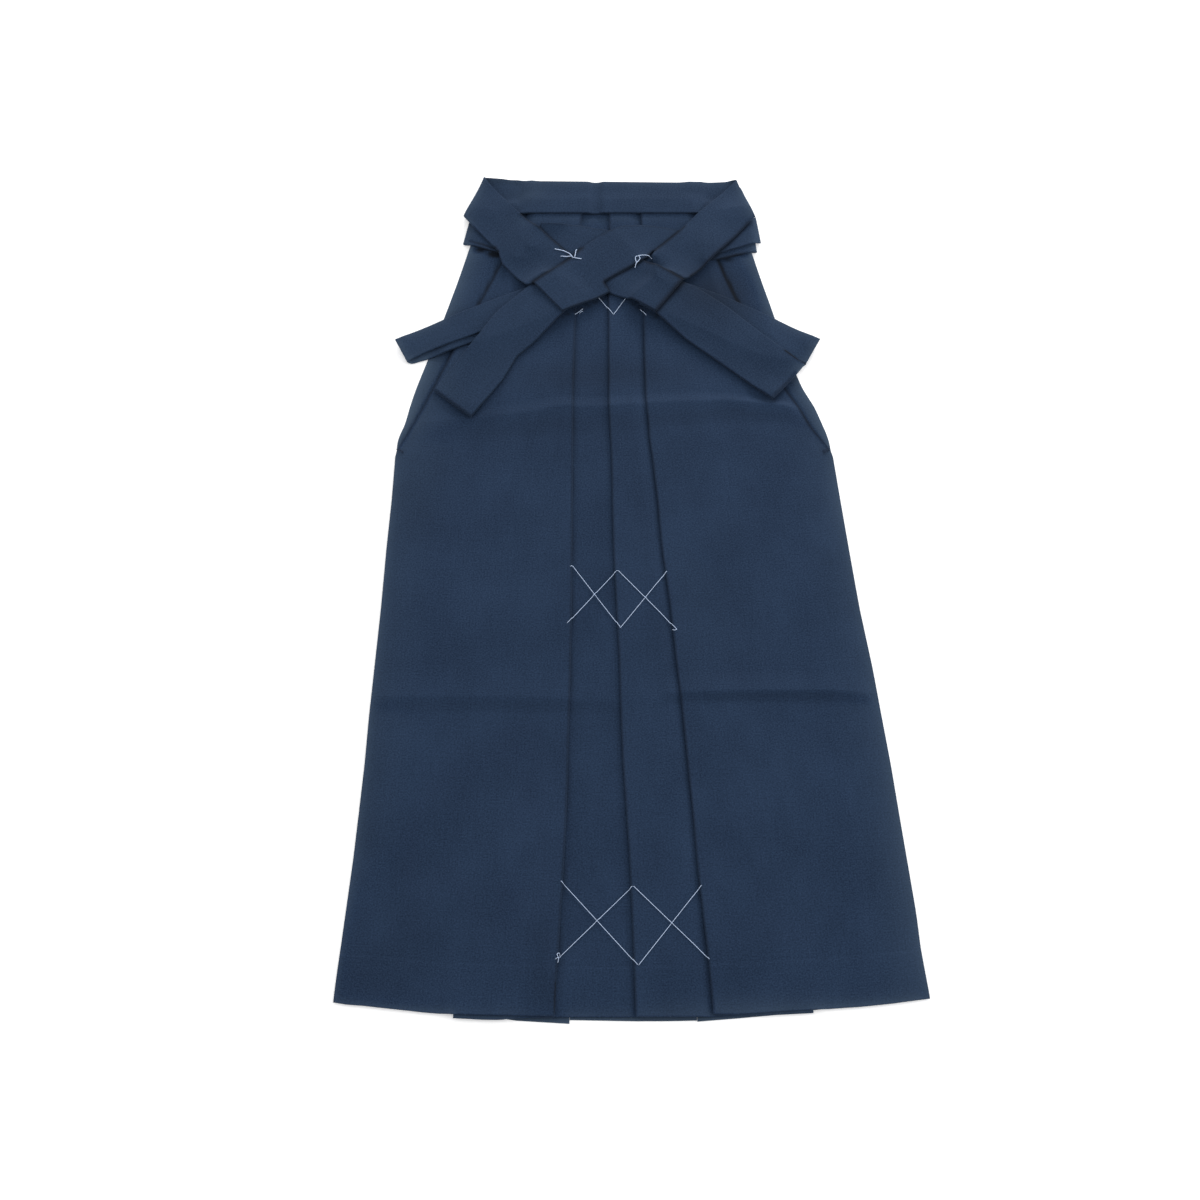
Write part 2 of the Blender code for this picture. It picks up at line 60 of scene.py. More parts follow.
# Where each lengthwise line of the garment runs: a row for each height y, from the waist down.
LINE_NAMES = (
    "y", "back_left", "front_left", "inner_left", "fold_left", "fold_mid",
    "fold_right", "inner_right", "front_right", "back_right", "back_mid_left", "back_mid_right",
)
LINE_ROWS = (
    (450, -162, -108, -96, -51, -20.6, 15.2, 60, 76, 128, -30, 18),
    (400, -176.4, -131, -113, -53, -20.6, 16.3, 78, 94, 137, -31, 20),
    (372, -183.9, -143, -121, -55, -21.6, 17.3, 88, 104, 144.4, -32, 21),
    (320, -198.9, -166, -134, -57, -21.6, 17.4, 102, 124, 158.8, -33, 24),
    (260, -216.5, -192, -146, -59, -21.6, 17.5, 114, 150, 174.4, -35, 27),
    (212, -231.8, -213, -152, -60, -21.6, 18.4, 121, 170, 190.3, -36, 29),
    (190, -237.4, -222, -154, -60, -21.6, 19.2, 124, 184, 202.3, -37, 30),
    (165, -242.5, -234, -155, -60, -20.6, 21.8, 126, 196, 210.8, -37, 31),
    (150, -249.5, -241, -155.5, -60, -20, 22, 127, 206, 216, -38, 32),
    (135, -249.6, -250.6, -156, -60, -19, 24, 127, 218.7, 217.7, -38, 33),
    (75, -251.5, -252.5, -155, -60, -18, 30, 127, 224.9, 223.9, -40, 36),
    (18, -254.6, -255.6, -154, -60, -17, 34, 126.5, 231, 230, -42, 39),
    (-52, -257.4, -258.4, -154, -60, -14, 42, 126, 238.8, 237.8, -44, 42),
    (-120, -261.2, -262.2, -155, -61, -11, 48, 130, 248.7, 247.7, -47, 45),
    (-172, -264.2, -265.2, -157.5, -62, -10, 53, 137, 254.8, 253.8, -49, 48),
    (-225, -266.3, -267.3, -160, -63, -8, 57, 144, 261.2, 260.2, -51, 51),
    (-275, -269.5, -270.5, -162, -64, -5, 61, 150, 266.2, 265.2, -52, 53),
    (-325, -272.8, -273.8, -164, -66, -2, 64, 156, 271.4, 270.4, -54, 55),
    (-380, -277.6, -278.6, -166, -69, 0, 69, 162, 277.1, 276.1, -56, 57),
    (-422, -280.8, -281.8, -167.5, -71, 1.4, 73, 166, 279.2, 278.2, -58, 59),
    (-450, -283, -284, -169, -73, 2.3, 75, 169, 282, 281, -59, 60),
    (-480, -285, -286, -171, -74, 3.3, 77, 173, 285, 284, -60, 62),
)
LINES = {name: np.array([row[k] for row in LINE_ROWS[::-1]], float) for k, name in enumerate(LINE_NAMES)}
HEMS = {
    "front_left": {
        "x": (-286, -272, -258, -244, -222, -198, -171, -74),
        "y": (-466.9, -469.2, -470.2, -471.8, -474.2, -476.9, -479, -481.3),
    },
    "under_left": {"x": (-171, -142, -124, -120, -74), "y": (-482.4, -484, -484.2, -483, -481.4)},
    "centre": {"x": (-171, 4, 77, 130, 173), "y": (-481.4, -481.4, -481.3, -479.4, -477.2)},
    "under_right": {"x": (77, 130, 173), "y": (-479.2, -479, -476.6)},
    "front_right": {
        "x": (74, 98, 173, 220, 250, 285),
        "y": (-478.9, -479.1, -474.5, -471.2, -468, -463.2),
    },
    "back_left": {
        "x": (-286, -198, -171, -122, -114, -60),
        "y": (-463.9, -473.8, -477, -482.2, -484, -487.2),
    },
    "back_middle": {"x": (-60, 0, 31, 62), "y": (-483.6, -484.7, -484.7, -484.1)},
    "back_right": {
        "x": (62, 98, 122, 134, 173, 284),
        "y": (-485.1, -482.2, -480.1, -479, -474.1, -461.6),
    },
}


def line_at(name, y):
    """x of a lengthwise line at heights y, eased over its corners."""
    parts = [np.interp(y + step, LINES["y"], LINES[name]) for step in (-8.0, 0.0, 8.0)]
    return 0.25 * parts[0] + 0.5 * parts[1] + 0.25 * parts[2]


def ease(start, end, x):
    t = np.clip((x - start) / (end - start), 0.0, 1.0)
    return t * t * (3.0 - 2.0 * t)


NEAR_EDGE = np.array((0.0, 0.35, 0.8, 1.5))


def spread(width, count, edge=0.0):
    """Shares of a width from 0 to 1, with lines near both edges, closer there where edge is over 0."""
    near = NEAR_EDGE / width
    t = np.linspace(0.0, 1.0, count + 1)
    t = t - edge * np.sin(2 * np.pi * t) / (2 * np.pi)
    inner = t[(t > 2.2 / width) & (t < 1 - 2.2 / width)]
    return np.concatenate([near, inner, 1 - near[::-1]])


def rows_between(low, high, step, fine=()):
    """Heights from low to high, step apart, and closer round each (middle, half width, step) of fine."""
    heights = [low + near for near in NEAR_EDGE]
    while heights[-1] < high:
        y = heights[-1]
        near = [f + (step - f) * float(ease(wide, 2 * wide, abs(y - middle))) for middle, wide, f in fine]
        heights.append(y + min([step, *near]))
    heights = np.array(heights)
    return low + (heights - low) * (high - low) / (heights[-1] - low)


def lift(y):
    """The panels rise where the back tie lies under them."""
    return (TIE + TIE_AIR) * (ease(345.0, 387.0, y) - ease(447.0, 462.0, y))


def panel(left, right, shares, rows, hem, height):
    """Underside of one layer of a panel: a grid of points, one row for each share of its width."""
    y = np.asarray(rows)[None, :]
    x = left(y) * (1 - shares[:, None]) + right(y) * shares[:, None]
    along = np.clip((HEM_BLEND_TOP - y) / (HEM_BLEND_TOP - HEM), 0.0, 1.0)
    down = y + (np.interp(x, HEMS[hem]["x"], HEMS[hem]["y"]) - HEM) * along
    return np.stack([x, down, height(x, y + 0 * x) + lift(y)], 2)


def raised(grid, by):
    top = grid.copy()
    top[:, :, 2] += by
    return top


def turn(start, end, ahead, bulge, steps):
    """Rows of points round a pressed fold, from one layer to the next."""
    rows = []
    for k in range(1, steps):
        angle = math.pi * k / steps
        points = start + (end - start) * (1 - math.cos(angle)) / 2
        points[:, :2] += ahead * bulge * math.sin(angle)
        rows.append(points)
    return rows


def folded(layers, thickness, air, steps=6):
    """Outer and inner faces of a strip whose layers, each (underside, top), fold onto one another."""
    outer, inner = [], []
    top_out = len(layers) < 2 or layers[0][0][-1, :, 2].mean() > layers[1][0][0, :, 2].mean()
    for k, (low, high) in enumerate(layers):
        outer.extend(high if top_out else low)
        inner.extend(low if top_out else high)
        if k + 1 == len(layers):
            break
        next_low, next_high = layers[k + 1]
        rising = next_low[0, :, 2].mean() > low[-1, :, 2].mean()
        ahead = low[-1, :, :2] - low[-2, :, :2]
        ahead = ahead / np.linalg.norm(ahead, axis=1)[:, None]
        for faces, turned_in in ((outer, top_out == rising), (inner, top_out != rising)):
            start = high[-1] if turned_in == rising else low[-1]
            end = next_low[0] if turned_in == rising else next_high[0]
            bulge = air / 2 + (0.0 if turned_in else thickness)
            faces.extend(turn(start, end, ahead, bulge, steps))
        top_out = not top_out
    return np.array(outer), np.array(inner)


def painted_edge_shade(u, v, layers, turns=6):
    """Painted shade of a piece's edges and pressed folds: 1 at the edges, falling to 0 about a millimetre
    and a half inside.
    """
    off = np.minimum(np.minimum(u, u[-1:] - u), np.minimum(v, v[:, -1:] - v))
    row = 0
    for low, _ in layers[:-1]:
        row += len(low)
        for edge in (row - 1, row + turns - 1):
            off = np.minimum(off, np.abs(u - u[edge : edge + 1]))
        off[row : row + turns - 1] = 0.0
        row += turns - 1
    return 0.4 * np.exp(-((off / 0.95) ** 2))


def sewn_shell(name, layers, thickness, air, material, seed=0.0, along_first=False):
    """One thin closed piece of cloth. Its weave follows the distances across and along it."""
    outer, inner = folded(layers, thickness, air)
    across, along = outer.shape[:2]
    steps_across = np.linalg.norm(np.diff(outer, axis=0), axis=2)
    steps_along = np.linalg.norm(np.diff(outer, axis=1), axis=2)
    u = np.concatenate([np.zeros((1, along)), np.cumsum(steps_across, 0)])
    v = np.concatenate([np.zeros((across, 1)), np.cumsum(steps_along, 1)], 1)
    # The painted shade along the piece's edges and folds is carried in the third number of its grain.
    pressed = painted_edge_shade(u, v, layers)
    u -= u.mean(0)[None, :]
    v = 0.5 * v + 0.5 * v.mean(0)[None, :]
    grain = np.stack([v, u, pressed] if along_first else [u, v, pressed], 2).reshape(-1, 3)
    grain[:, :2] += seed * 700.0
    points = (np.concatenate([outer.reshape(-1, 3), inner.reshape(-1, 3)]) + TO_CENTRE) * MM
    back = across * along
    cell = np.arange(back).reshape(across, along)
    a, b, c, d = cell[:-1, :-1], cell[:-1, 1:], cell[1:, 1:], cell[1:, :-1]
    quads = [np.stack([a, b, c, d], 2).reshape(-1, 4)]
    quads.append(np.stack([a, d, c, b], 2).reshape(-1, 4) + back)
    for first, second in (
        (cell[0, 1:], cell[0, :-1]), (cell[1:, -1], cell[:-1, -1]),
        (cell[-1, :-1], cell[-1, 1:]), (cell[:-1, 0], cell[1:, 0]),
    ):
        quads.append(np.stack([first, second, second + back, first + back], 1))
    quads = np.concatenate(quads)
    p, q, r, s = (points[quads[:, k]] for k in range(4))
    if (p * np.cross(q - p, r - p) + p * np.cross(r - p, s - p)).sum() < 0:
        quads = quads[:, ::-1]
    mesh = bpy.data.meshes.new(name)
    mesh.vertices.add(len(points))
    mesh.vertices.foreach_set("co", points.astype(np.float32).ravel())
    mesh.loops.add(quads.size)
    mesh.loops.foreach_set("vertex_index", quads.astype(np.int32).ravel())
    mesh.polygons.add(len(quads))
    mesh.polygons.foreach_set("loop_start", np.arange(0, quads.size, 4, dtype=np.int32))
    mesh.update(calc_edges=True)
    mesh.validate()
    mesh.polygons.foreach_set("use_smooth", np.ones(len(mesh.polygons), bool))
    held = mesh.attributes.new("grain", "FLOAT_VECTOR", "POINT")
    held.data.foreach_set("vector", np.concatenate([grain, grain]).astype(np.float32).ravel())
    mesh.materials.append(material)
    piece = bpy.data.objects.new(name, mesh)
    bpy.context.scene.collection.objects.link(piece)
    return piece


# The pile: how high the cloth stands over each millimetre of the floor, as pieces are laid on it.
CELL = 1.0
PILE_CORNER = np.array((-310.0, -510.0))
PILE_SIZE = (620, 1020)
pile = np.zeros(PILE_SIZE)


def filled(grid):
    """Points all over a layer, close enough to touch each cell of the pile under it."""
    steps = [np.linalg.norm(np.diff(grid[:, :, :2], axis=k), axis=2).max() for k in (0, 1)]
    parts = [max(1, int(math.ceil(step / (0.7 * CELL)))) for step in steps]
    at = [np.linspace(0, n - 1, (n - 1) * part + 1) for n, part in zip(grid.shape[:2], parts)]
    i = np.minimum(at[0].astype(int), grid.shape[0] - 2)
    j = np.minimum(at[1].astype(int), grid.shape[1] - 2)
    s, t = (at[0] - i)[:, None, None], (at[1] - j)[None, :, None]
    first = grid[i][:, j] * (1 - t) + grid[i][:, j + 1] * t
    second = grid[i + 1][:, j] * (1 - t) + grid[i + 1][:, j + 1] * t
    return (first * (1 - s) + second * s).reshape(-1, 3)


def cells_of(points):
    return np.floor((points[:, :2] - PILE_CORNER) / CELL).astype(int).T


def stamp(top):
    """Adds a layer to the pile, from the points of its top."""
    points = filled(top)
    i, j = cells_of(points)
    np.maximum.at(pile, (i, j), points[:, 2])


# Every piece of cloth laid so far: light and shade, and patches of tone, are painted into the colour of
# each once all of them lie in place.
sewn = []


def lay_down(
    name, layers, node, material,
    thickness=CLOTH, air=AIR, seed=0.0, along_first=False,
):
    """Makes a piece of cloth from its layers, and puts it in its CAD solid's place.

    The rows of points of its layers run along the piece where along_first is true, as a tie's do.
    """
    piece = sewn_shell(name, layers, thickness, air, material, seed, along_first)
    sewn.append(piece)
    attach(piece, "root")
    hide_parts(node)


def socket(node, name, value):
    node.inputs[name].default_value = value


# Colours that light and shade are painted with: first the paler navy that painted light draws the colour
# toward, then the share of the light navy that painted shade darkens it toward.
PAINTED_GLOW_NAVY = (0.07, 0.105, 0.15)
PAINTED_SHADE_SHARE = 0.12
FLECK_CONTRAST = 2.7
TWILL_DEPTH = 0.00022


def suiting(name, light, dark):
    """Worsted suiting: a fine twill with a soft nap, flecked and slightly uneven in its dye.

    The third number of grain is above 0 where shade is painted into the colour, and below 0 where light is
    painted into it.
    """
    material = bpy.data.materials.new(name)
    material.use_nodes = True
    nodes, links = material.node_tree.nodes, material.node_tree.links
    shader = nodes["Principled BSDF"]
    socket(shader, "Roughness", 0.9)
    socket(shader, "Specular IOR Level", 0.14)
    socket(shader, "Sheen Weight", 0.08)
    socket(shader, "Sheen Roughness", 0.45)
    socket(shader, "Sheen Tint", (0.45, 0.62, 1.0, 1.0))
    grain = nodes.new("ShaderNodeAttribute")
    grain.attribute_name = "grain"

    def placed(stretch):
        moved = nodes.new("ShaderNodeMapping")
        socket(moved, "Scale", stretch)
        links.new(grain.outputs["Vector"], moved.inputs["Vector"])
        return moved.outputs["Vector"]

    def noise(stretch, detail, rough):
        made = nodes.new("ShaderNodeTexNoise")
        socket(made, "Scale", 1.0)
        socket(made, "Detail", detail)
        socket(made, "Roughness", rough)
        links.new(placed(stretch), made.inputs["Vector"])
        return made.outputs["Fac"]

    def maths(operation, first, second, third=None):
        made = nodes.new("ShaderNodeMath")
        made.operation = operation
        for k, value in enumerate((first, second, third)):
            if isinstance(value, (int, float)):
                made.inputs[k].default_value = value
            elif value is not None:
                links.new(value, made.inputs[k])
        return made.outputs[0]

    fleck = noise((0.62, 0.62, 0.0), 4.0, 0.7)
    slub = noise((0.45, 0.03, 0.0), 2.0, 0.5)
    weft = noise((0.03, 0.5, 0.0), 2.0, 0.5)
    cloud = noise((0.016, 0.011, 0.0), 3.0, 0.55)
    tone = maths("MULTIPLY_ADD", fleck, FLECK_CONTRAST, 0.5 - FLECK_CONTRAST / 2)
    tone = maths("MULTIPLY_ADD", maths("SUBTRACT", slub, 0.5), 0.25, tone)
    tone = maths("MULTIPLY_ADD", maths("SUBTRACT", weft, 0.5), 0.2, tone)
    tone = maths("MULTIPLY_ADD", maths("SUBTRACT", cloud, 0.5), 0.7, tone)
    colours = nodes.new("ShaderNodeValToRGB")
    colours.color_ramp.elements[0].position = 0.0
    colours.color_ramp.elements[0].color = (*dark, 1.0)
    colours.color_ramp.elements[1].position = 1.0
    colours.color_ramp.elements[1].color = (*light, 1.0)
    links.new(tone, colours.inputs["Fac"])
    parts = nodes.new("ShaderNodeSeparateXYZ")
    links.new(grain.outputs["Vector"], parts.inputs["Vector"])
    # Painted shade: the colour is drawn toward a dark share of the light navy, as far as the third number
    # of grain is above 0.
    pressed = nodes.new("ShaderNodeMix")
    pressed.data_type = "RGBA"
    pressed.inputs[7].default_value = (*(PAINTED_SHADE_SHARE * value for value in light), 1.0)
    links.new(maths("MULTIPLY", parts.outputs["Z"], 0.95), pressed.inputs["Factor"])
    links.new(colours.outputs["Color"], pressed.inputs[6])
    # Painted light: the colour is drawn toward a paler navy, as far as the third number of grain is below
    # 0.
    painted_glow_mix = nodes.new("ShaderNodeMix")
    painted_glow_mix.data_type = "RGBA"
    painted_glow_mix.inputs[7].default_value = (*PAINTED_GLOW_NAVY, 1.0)
    links.new(maths("MULTIPLY", parts.outputs["Z"], -1.0), painted_glow_mix.inputs["Factor"])
    links.new(pressed.outputs[2], painted_glow_mix.inputs[6])
    links.new(painted_glow_mix.outputs[2], shader.inputs["Base Color"])

    twill = nodes.new("ShaderNodeTexWave")
    twill.wave_type = "BANDS"
    twill.bands_direction = "DIAGONAL"
    socket(twill, "Scale", 0.42)
    socket(twill, "Distortion", 0.8)
    socket(twill, "Detail", 1.0)
    links.new(placed((1.0, 1.0, 0.0)), twill.inputs["Vector"])
    relief = maths("MULTIPLY_ADD", twill.outputs["Fac"], 0.5, fleck)
    bump = nodes.new("ShaderNodeBump")
    socket(bump, "Strength", 0.35)
    socket(bump, "Distance", TWILL_DEPTH)
    links.new(relief, bump.inputs["Height"])
    links.new(bump.outputs["Normal"], shader.inputs["Normal"])
    return material


NAVY_LIGHT = (0.0212, 0.0425, 0.088)
NAVY_DARK = (0.0055, 0.0145, 0.035)
back_suiting = suiting("back_suiting", NAVY_LIGHT, NAVY_DARK)

BACK_TOP = 446.0
BACK_ROWS = rows_between(HEM, BACK_TOP, 6.0)
SEAM_GAP = 0.15


def edge_of(name, offset=0.0):
    return lambda y: line_at(name, y) + offset


def on_floor(x, y):
    return 0.0 * x


BACK_WIDTHS = (
    ("left", edge_of("back_left"), edge_of("back_mid_left", -SEAM_GAP), 220.0, 40),
    ("middle", edge_of("back_mid_left", SEAM_GAP), edge_of("back_mid_right", -SEAM_GAP), 95.0, 24),
    ("right", edge_of("back_mid_right", SEAM_GAP), edge_of("back_right"), 220.0, 40),
)
for seed, (side, left, right, width, count) in enumerate(BACK_WIDTHS, 1):
    low = panel(left, right, spread(width, count, 0.5), BACK_ROWS, "back_" + side, on_floor)
    top = raised(low, CLOTH)
    stamp(top)
    lay_down(
        "cloth_back_" + side, [(low, top)], "back_panel_" + side, back_suiting,
        seed=float(seed),
    )

# ---------------------------------------------------------------------------------------------
# Left front width: a broad panel whose inner side is folded under as a knife pleat. It is seamed
# to the centre strip inside the pleat, and its outer edge is open from the waist to the hip.
# ---------------------------------------------------------------------------------------------
FRONT_TOP = 478.0
FRONT_ROWS = rows_between(
    HEM, FRONT_TOP, 4.2, fine=((180.0, 26.0, 1.7), (-149.0, 24.0, 1.6), (-430.0, 7.0, 1.5))
)
# Two hard creases across the front, where the trousers were folded in three for storing: along
# them, the crease's height on the garment, how far it stands up, and its run above and below.
UPPER_CREASE = {
    "x": (-245, -204, -153, -107, -80, -58, -20, 13, 67, 105, 159, 186, 212),
    "y": (160, 169, 174, 180, 187, 188, 188, 190, 193, 194, 189, 184, 177),
    "up": (0.3, 1.1, 1.8, 2.4, 2.8, 3.0, 3.0, 2.9, 3.1, 3.6, 3.8, 2.8, 1.0),
    "above": (12, 12, 13, 13, 13, 13, 13, 13, 12, 10, 9, 10, 11),
    "below": (24, 26, 29, 32, 34, 34, 33, 32, 29, 26, 22, 20, 18),
}
LOWER_CREASE = {
    "x": (-262, -204, -153, -102, -56, -21, -8, 30, 38, 92, 153, 204, 246),
    "y": (-152, -153, -153, -154, -155, -155, -156, -154, -148, -147, -146, -146, -149),
    "up": (1.5, 2.1, 2.4, 2.2, 1.8, 1.2, 0.6, 0.5, 1.8, 3.0, 3.2, 3.0, 1.4),
    "above": (34, 34, 34, 32, 30, 26, 24, 22, 20, 21, 21, 21, 21),
    "below": (17, 17, 17, 17, 16, 15, 14, 14, 12, 12, 12, 12, 12),
}
# A soft trough down the right leg, over the edge of the cloth folded inside it.
RIGHT_TROUGH = {"y": (-480, -456, -392, -326, -264, -221, -180), "x": (239, 237, 233, 230, 223, 216, 210)}
# How far each pleat's edge stands off the cloth under it, from the hem to the waist.
PLEAT_LIFT = {
    "y": (-480, -380, -275, -150, -50, 75, 150, 190, 250, 300),
    "fold_left": (1.5, 1.1, 0.5, 0.3, 0.1, 0.1, 0.7, 0.9, 0.3, 0.0),
    "fold_mid": (1.0, 0.9, 0.6, 0.4, 0.1, 0.0, 0.2, 0.3, 0.1, 0.0),
    "fold_right": (0.8, 0.5, 0.3, 0.2, 0.1, 0.0, 0.2, 0.3, 0.1, 0.0),
}
PUFF = 2.0


def crease(x, y, line):
    """Height of a pressed ridge that runs across the garment."""
    off = y - np.interp(x, line["x"], line["y"])
    run = np.where(off > 0, np.interp(x, line["x"], line["above"]), np.interp(x, line["x"], line["below"]))
    up = np.interp(x, line["x"], line["up"], left=0.0, right=0.0)
    return up * np.maximum(1.0 - (np.sqrt(off * off + 1.4) - 1.18) / run, 0.0) ** 1.5


def ripple(x, y):
    """Slow, slight unevenness of cloth that has been pressed and handled."""
    waves = (
        (0.021, 0.004, 0.3, 0.16), (-0.013, 0.017, 1.9, 0.14), (0.047, 0.009, 4.0, 0.09),
        (0.006, 0.031, 2.6, 0.12), (0.083, -0.012, 0.8, 0.05), (-0.031, 0.043, 5.1, 0.06),
    )
    return 0.5 + sum(high * np.sin(a * x + b * y + c) for a, b, c, high in waves)


def rise(x, y):
    """How far the front stands off the cloth under it: crease ridges, slight puff and unevenness."""
    hem_fade = 0.25 + 0.75 * ease(-480.0, -400.0, y)
    tie_fade = 1.0 - ease(250.0, 330.0, y)
    left, right = line_at("front_left", y), line_at("front_right", y)
    puff = ease(0.0, 26.0, x - left) * ease(0.0, 15.0, line_at("inner_left", y) - x)
    puff = puff + ease(0.0, 26.0, right - x) * ease(0.0, 17.0, x - line_at("inner_right", y))
    trough_off = x - np.interp(y, RIGHT_TROUGH["y"], RIGHT_TROUGH["x"])
    trough_run = np.where(trough_off > 0, 9.0, 5.0)
    trough = 1.1 * np.exp(-np.sqrt(trough_off**2 + 1.0) / trough_run) * ease(-190.0, -260.0, y)
    sides = ease(0.0, 14.0, x - left) * ease(0.0, 14.0, right - x)
    ridges = crease(x, y, UPPER_CREASE) + crease(x, y, LOWER_CREASE)
    total = PUFF * puff * hem_fade * tie_fade + ridges * (0.35 + 0.65 * sides) * tie_fade
    total = total + (ripple(x, y) * sides - trough * puff) * hem_fade * (0.35 + 0.65 * tie_fade)
    return np.maximum(total, 0.0)


def open_lift(x, y, edge, side):
    """The free edge of a side opening stands a little off the back, most of it near the middle."""
    off = side * (x - line_at(edge, y))
    along = ease(132.0, 175.0, y) * (1.0 - ease(300.0, 345.0, y))
    return 1.5 * along * (1.0 - ease(6.0, 26.0, off))


def pleat_lift(x, y, fold, side):
    """The pleat's edge stands up a little. side is +1 where the pleat's cloth lies to its right."""
    off = side * (x - line_at(fold, y))
    return np.interp(y, PLEAT_LIFT["y"], PLEAT_LIFT[fold]) * np.exp(-np.maximum(off, 0) / 11.0) * (
        1.0 - ease(14.0, 28.0, off)
    )


HEM_TURN = 49.0
HEM_STITCH_PITCH = 7.0
OPENING_TURN = 8.5


def turning(x, y, hem_edge):
    """What the turned hem adds to a panel's top, with the line of blind stitches along it."""
    up = y - hem_edge
    line = up - HEM_TURN - 0.4 * np.sin(x * 0.9)
    stitch = 0.12 + 0.16 * (np.sin(x * 2 * np.pi / HEM_STITCH_PITCH) > 0.2)
    return 0.3 * (1.0 - ease(-1.5, 1.0, line)) - stitch * np.exp(-((line / 1.3) ** 2))


def topped(low, hem=None, open_edge=None):
    """A front layer's top: its cloth, its turned hem and the turned edge of its side opening."""
    top = raised(low, CLOTH)
    x, y = low[:, :, 0], low[:, :, 1]
    if hem:
        top[:, :, 2] += turning(x, y, np.interp(x, HEMS[hem]["x"], HEMS[hem]["y"]))
    if open_edge:
        off = np.abs(x - line_at(open_edge, y))
        stitched = np.exp(-(((off - OPENING_TURN) / 0.8) ** 2))
        turned_in = (1.0 - ease(OPENING_TURN, 10.0, off)) * 0.35 - 0.14 * stitched
        top[:, :, 2] += turned_in * ease(120.0, 150.0, y)
    return top


front_suiting = suiting("front_suiting", NAVY_LIGHT, NAVY_DARK)


def lay_front(name, layers, node, seed):
    """Adds a front width's layers to the pile, and lays it down."""
    for _, top in layers:
        stamp(top)
    lay_down(name, layers, node, front_suiting, seed=seed)


# How far a fold reaches past its first row, and how softly a layer comes down beside a pleat.
FOLD_TURN = CLOTH + AIR / 2
SOFT_RUN = 14.0
PLEAT_WIDTH = 94.0
FRONT_WIDTH = 190.0


def under_left_over(x, y):
    """Underside of the left panel: on its own pleat, then down onto the back."""
    edge = line_at("inner_left", y) - 1.0
    on_pleat = ease(edge - SOFT_RUN, edge, x)
    lifted = pleat_lift(x, y, "fold_left", -1.0) + open_lift(x, y, "front_left", 1.0)
    return LAYER + 2 * LAYER * on_pleat + rise(x, y) + lifted


left_under = panel(
    edge_of("inner_left"), edge_of("fold_left", -FOLD_TURN), spread(PLEAT_WIDTH, 16), FRONT_ROWS,
    "under_left", lambda x, y: 2 * LAYER + rise(x, y) + pleat_lift(x, y, "fold_left", -1.0),
)
left_over = panel(
    edge_of("fold_left", -FOLD_TURN), edge_of("front_left"), spread(FRONT_WIDTH, 60, 0.4), FRONT_ROWS,
    "front_left", under_left_over,
)

# ---------------------------------------------------------------------------------------------
# Left centre strip: a narrow width that shows between the left and middle pleats and runs on
# under both. It lies straight on the back.
# ---------------------------------------------------------------------------------------------


def inner_mid(y):
    return line_at("fold_right", y) - 15.0


STRIP_WIDTH = 180.0
centre_left = panel(
    edge_of("inner_left"), inner_mid, spread(STRIP_WIDTH, 44), FRONT_ROWS,
    "centre", lambda x, y: LAYER + rise(x, y),
)
lay_front(
    "cloth_front_centre_left", [(centre_left, topped(centre_left, "centre"))],
    "front_strip_centre_left", 4.0,
)

# The left front width, which was cut and folded above, goes down on the strip.
left_front = [
    (left_under, raised(left_under, CLOTH)),
    (left_over, topped(left_over, "front_left", "front_left")),
]
lay_front(
    "cloth_front_left", left_front, "front_panel_left",
    5.0,
)

# ---------------------------------------------------------------------------------------------
# Right centre strip: the width right of the middle, folded under along the middle pleat, which
# laps over the left strip. The right pleat lies on its other side.
# ---------------------------------------------------------------------------------------------


def under_right_of_mid(x, y):
    edge = inner_mid(y) + 1.0
    return LAYER + 2 * LAYER * (1.0 - ease(edge, edge + SOFT_RUN, x))


mid_under = panel(
    inner_mid, edge_of("fold_mid", FOLD_TURN), spread(37.0, 10), FRONT_ROWS, "centre",
    lambda x, y: 2 * LAYER + rise(x, y) + pleat_lift(x, y, "fold_mid", 1.0),
)
mid_over = panel(
    edge_of("fold_mid", FOLD_TURN), edge_of("inner_right"), spread(145.0, 52, 0.3), FRONT_ROWS, "centre",
    lambda x, y: under_right_of_mid(x, y) + rise(x, y) + pleat_lift(x, y, "fold_mid", 1.0),
)
centre_right = [(mid_under, raised(mid_under, CLOTH)), (mid_over, topped(mid_over, "centre"))]
lay_front(
    "cloth_front_centre_right", centre_right, "front_strip_centre_right",
    6.0,
)

# ---------------------------------------------------------------------------------------------
# Right front width: the mirror of the left one, lapped over the centre strip along the right
# pleat, with its outer edge open from the waist to the hip.
# ---------------------------------------------------------------------------------------------


def under_right_over(x, y):
    edge = line_at("inner_right", y) + 1.0
    own = 2 * LAYER * (1.0 - ease(edge, edge + SOFT_RUN, x))
    lifted = pleat_lift(x, y, "fold_right", 1.0) + open_lift(x, y, "front_right", -1.0)
    return under_right_of_mid(x, y) + own + rise(x, y) + lifted


right_under = panel(
    edge_of("inner_right"), edge_of("fold_right", FOLD_TURN), spread(PLEAT_WIDTH, 16), FRONT_ROWS,
    "under_right",
    lambda x, y: under_right_of_mid(x, y) + LAYER + rise(x, y) + pleat_lift(x, y, "fold_right", 1.0),
)
right_over = panel(
    edge_of("fold_right", FOLD_TURN), edge_of("front_right"), spread(FRONT_WIDTH, 60, 0.4), FRONT_ROWS,
    "front_right", under_right_over,
)
right_front = [
    (right_under, raised(right_under, CLOTH)),
    (right_over, topped(right_over, "front_right", "front_right")),
]
lay_front(
    "cloth_front_right", right_front, "front_panel_right",
    7.0,
)

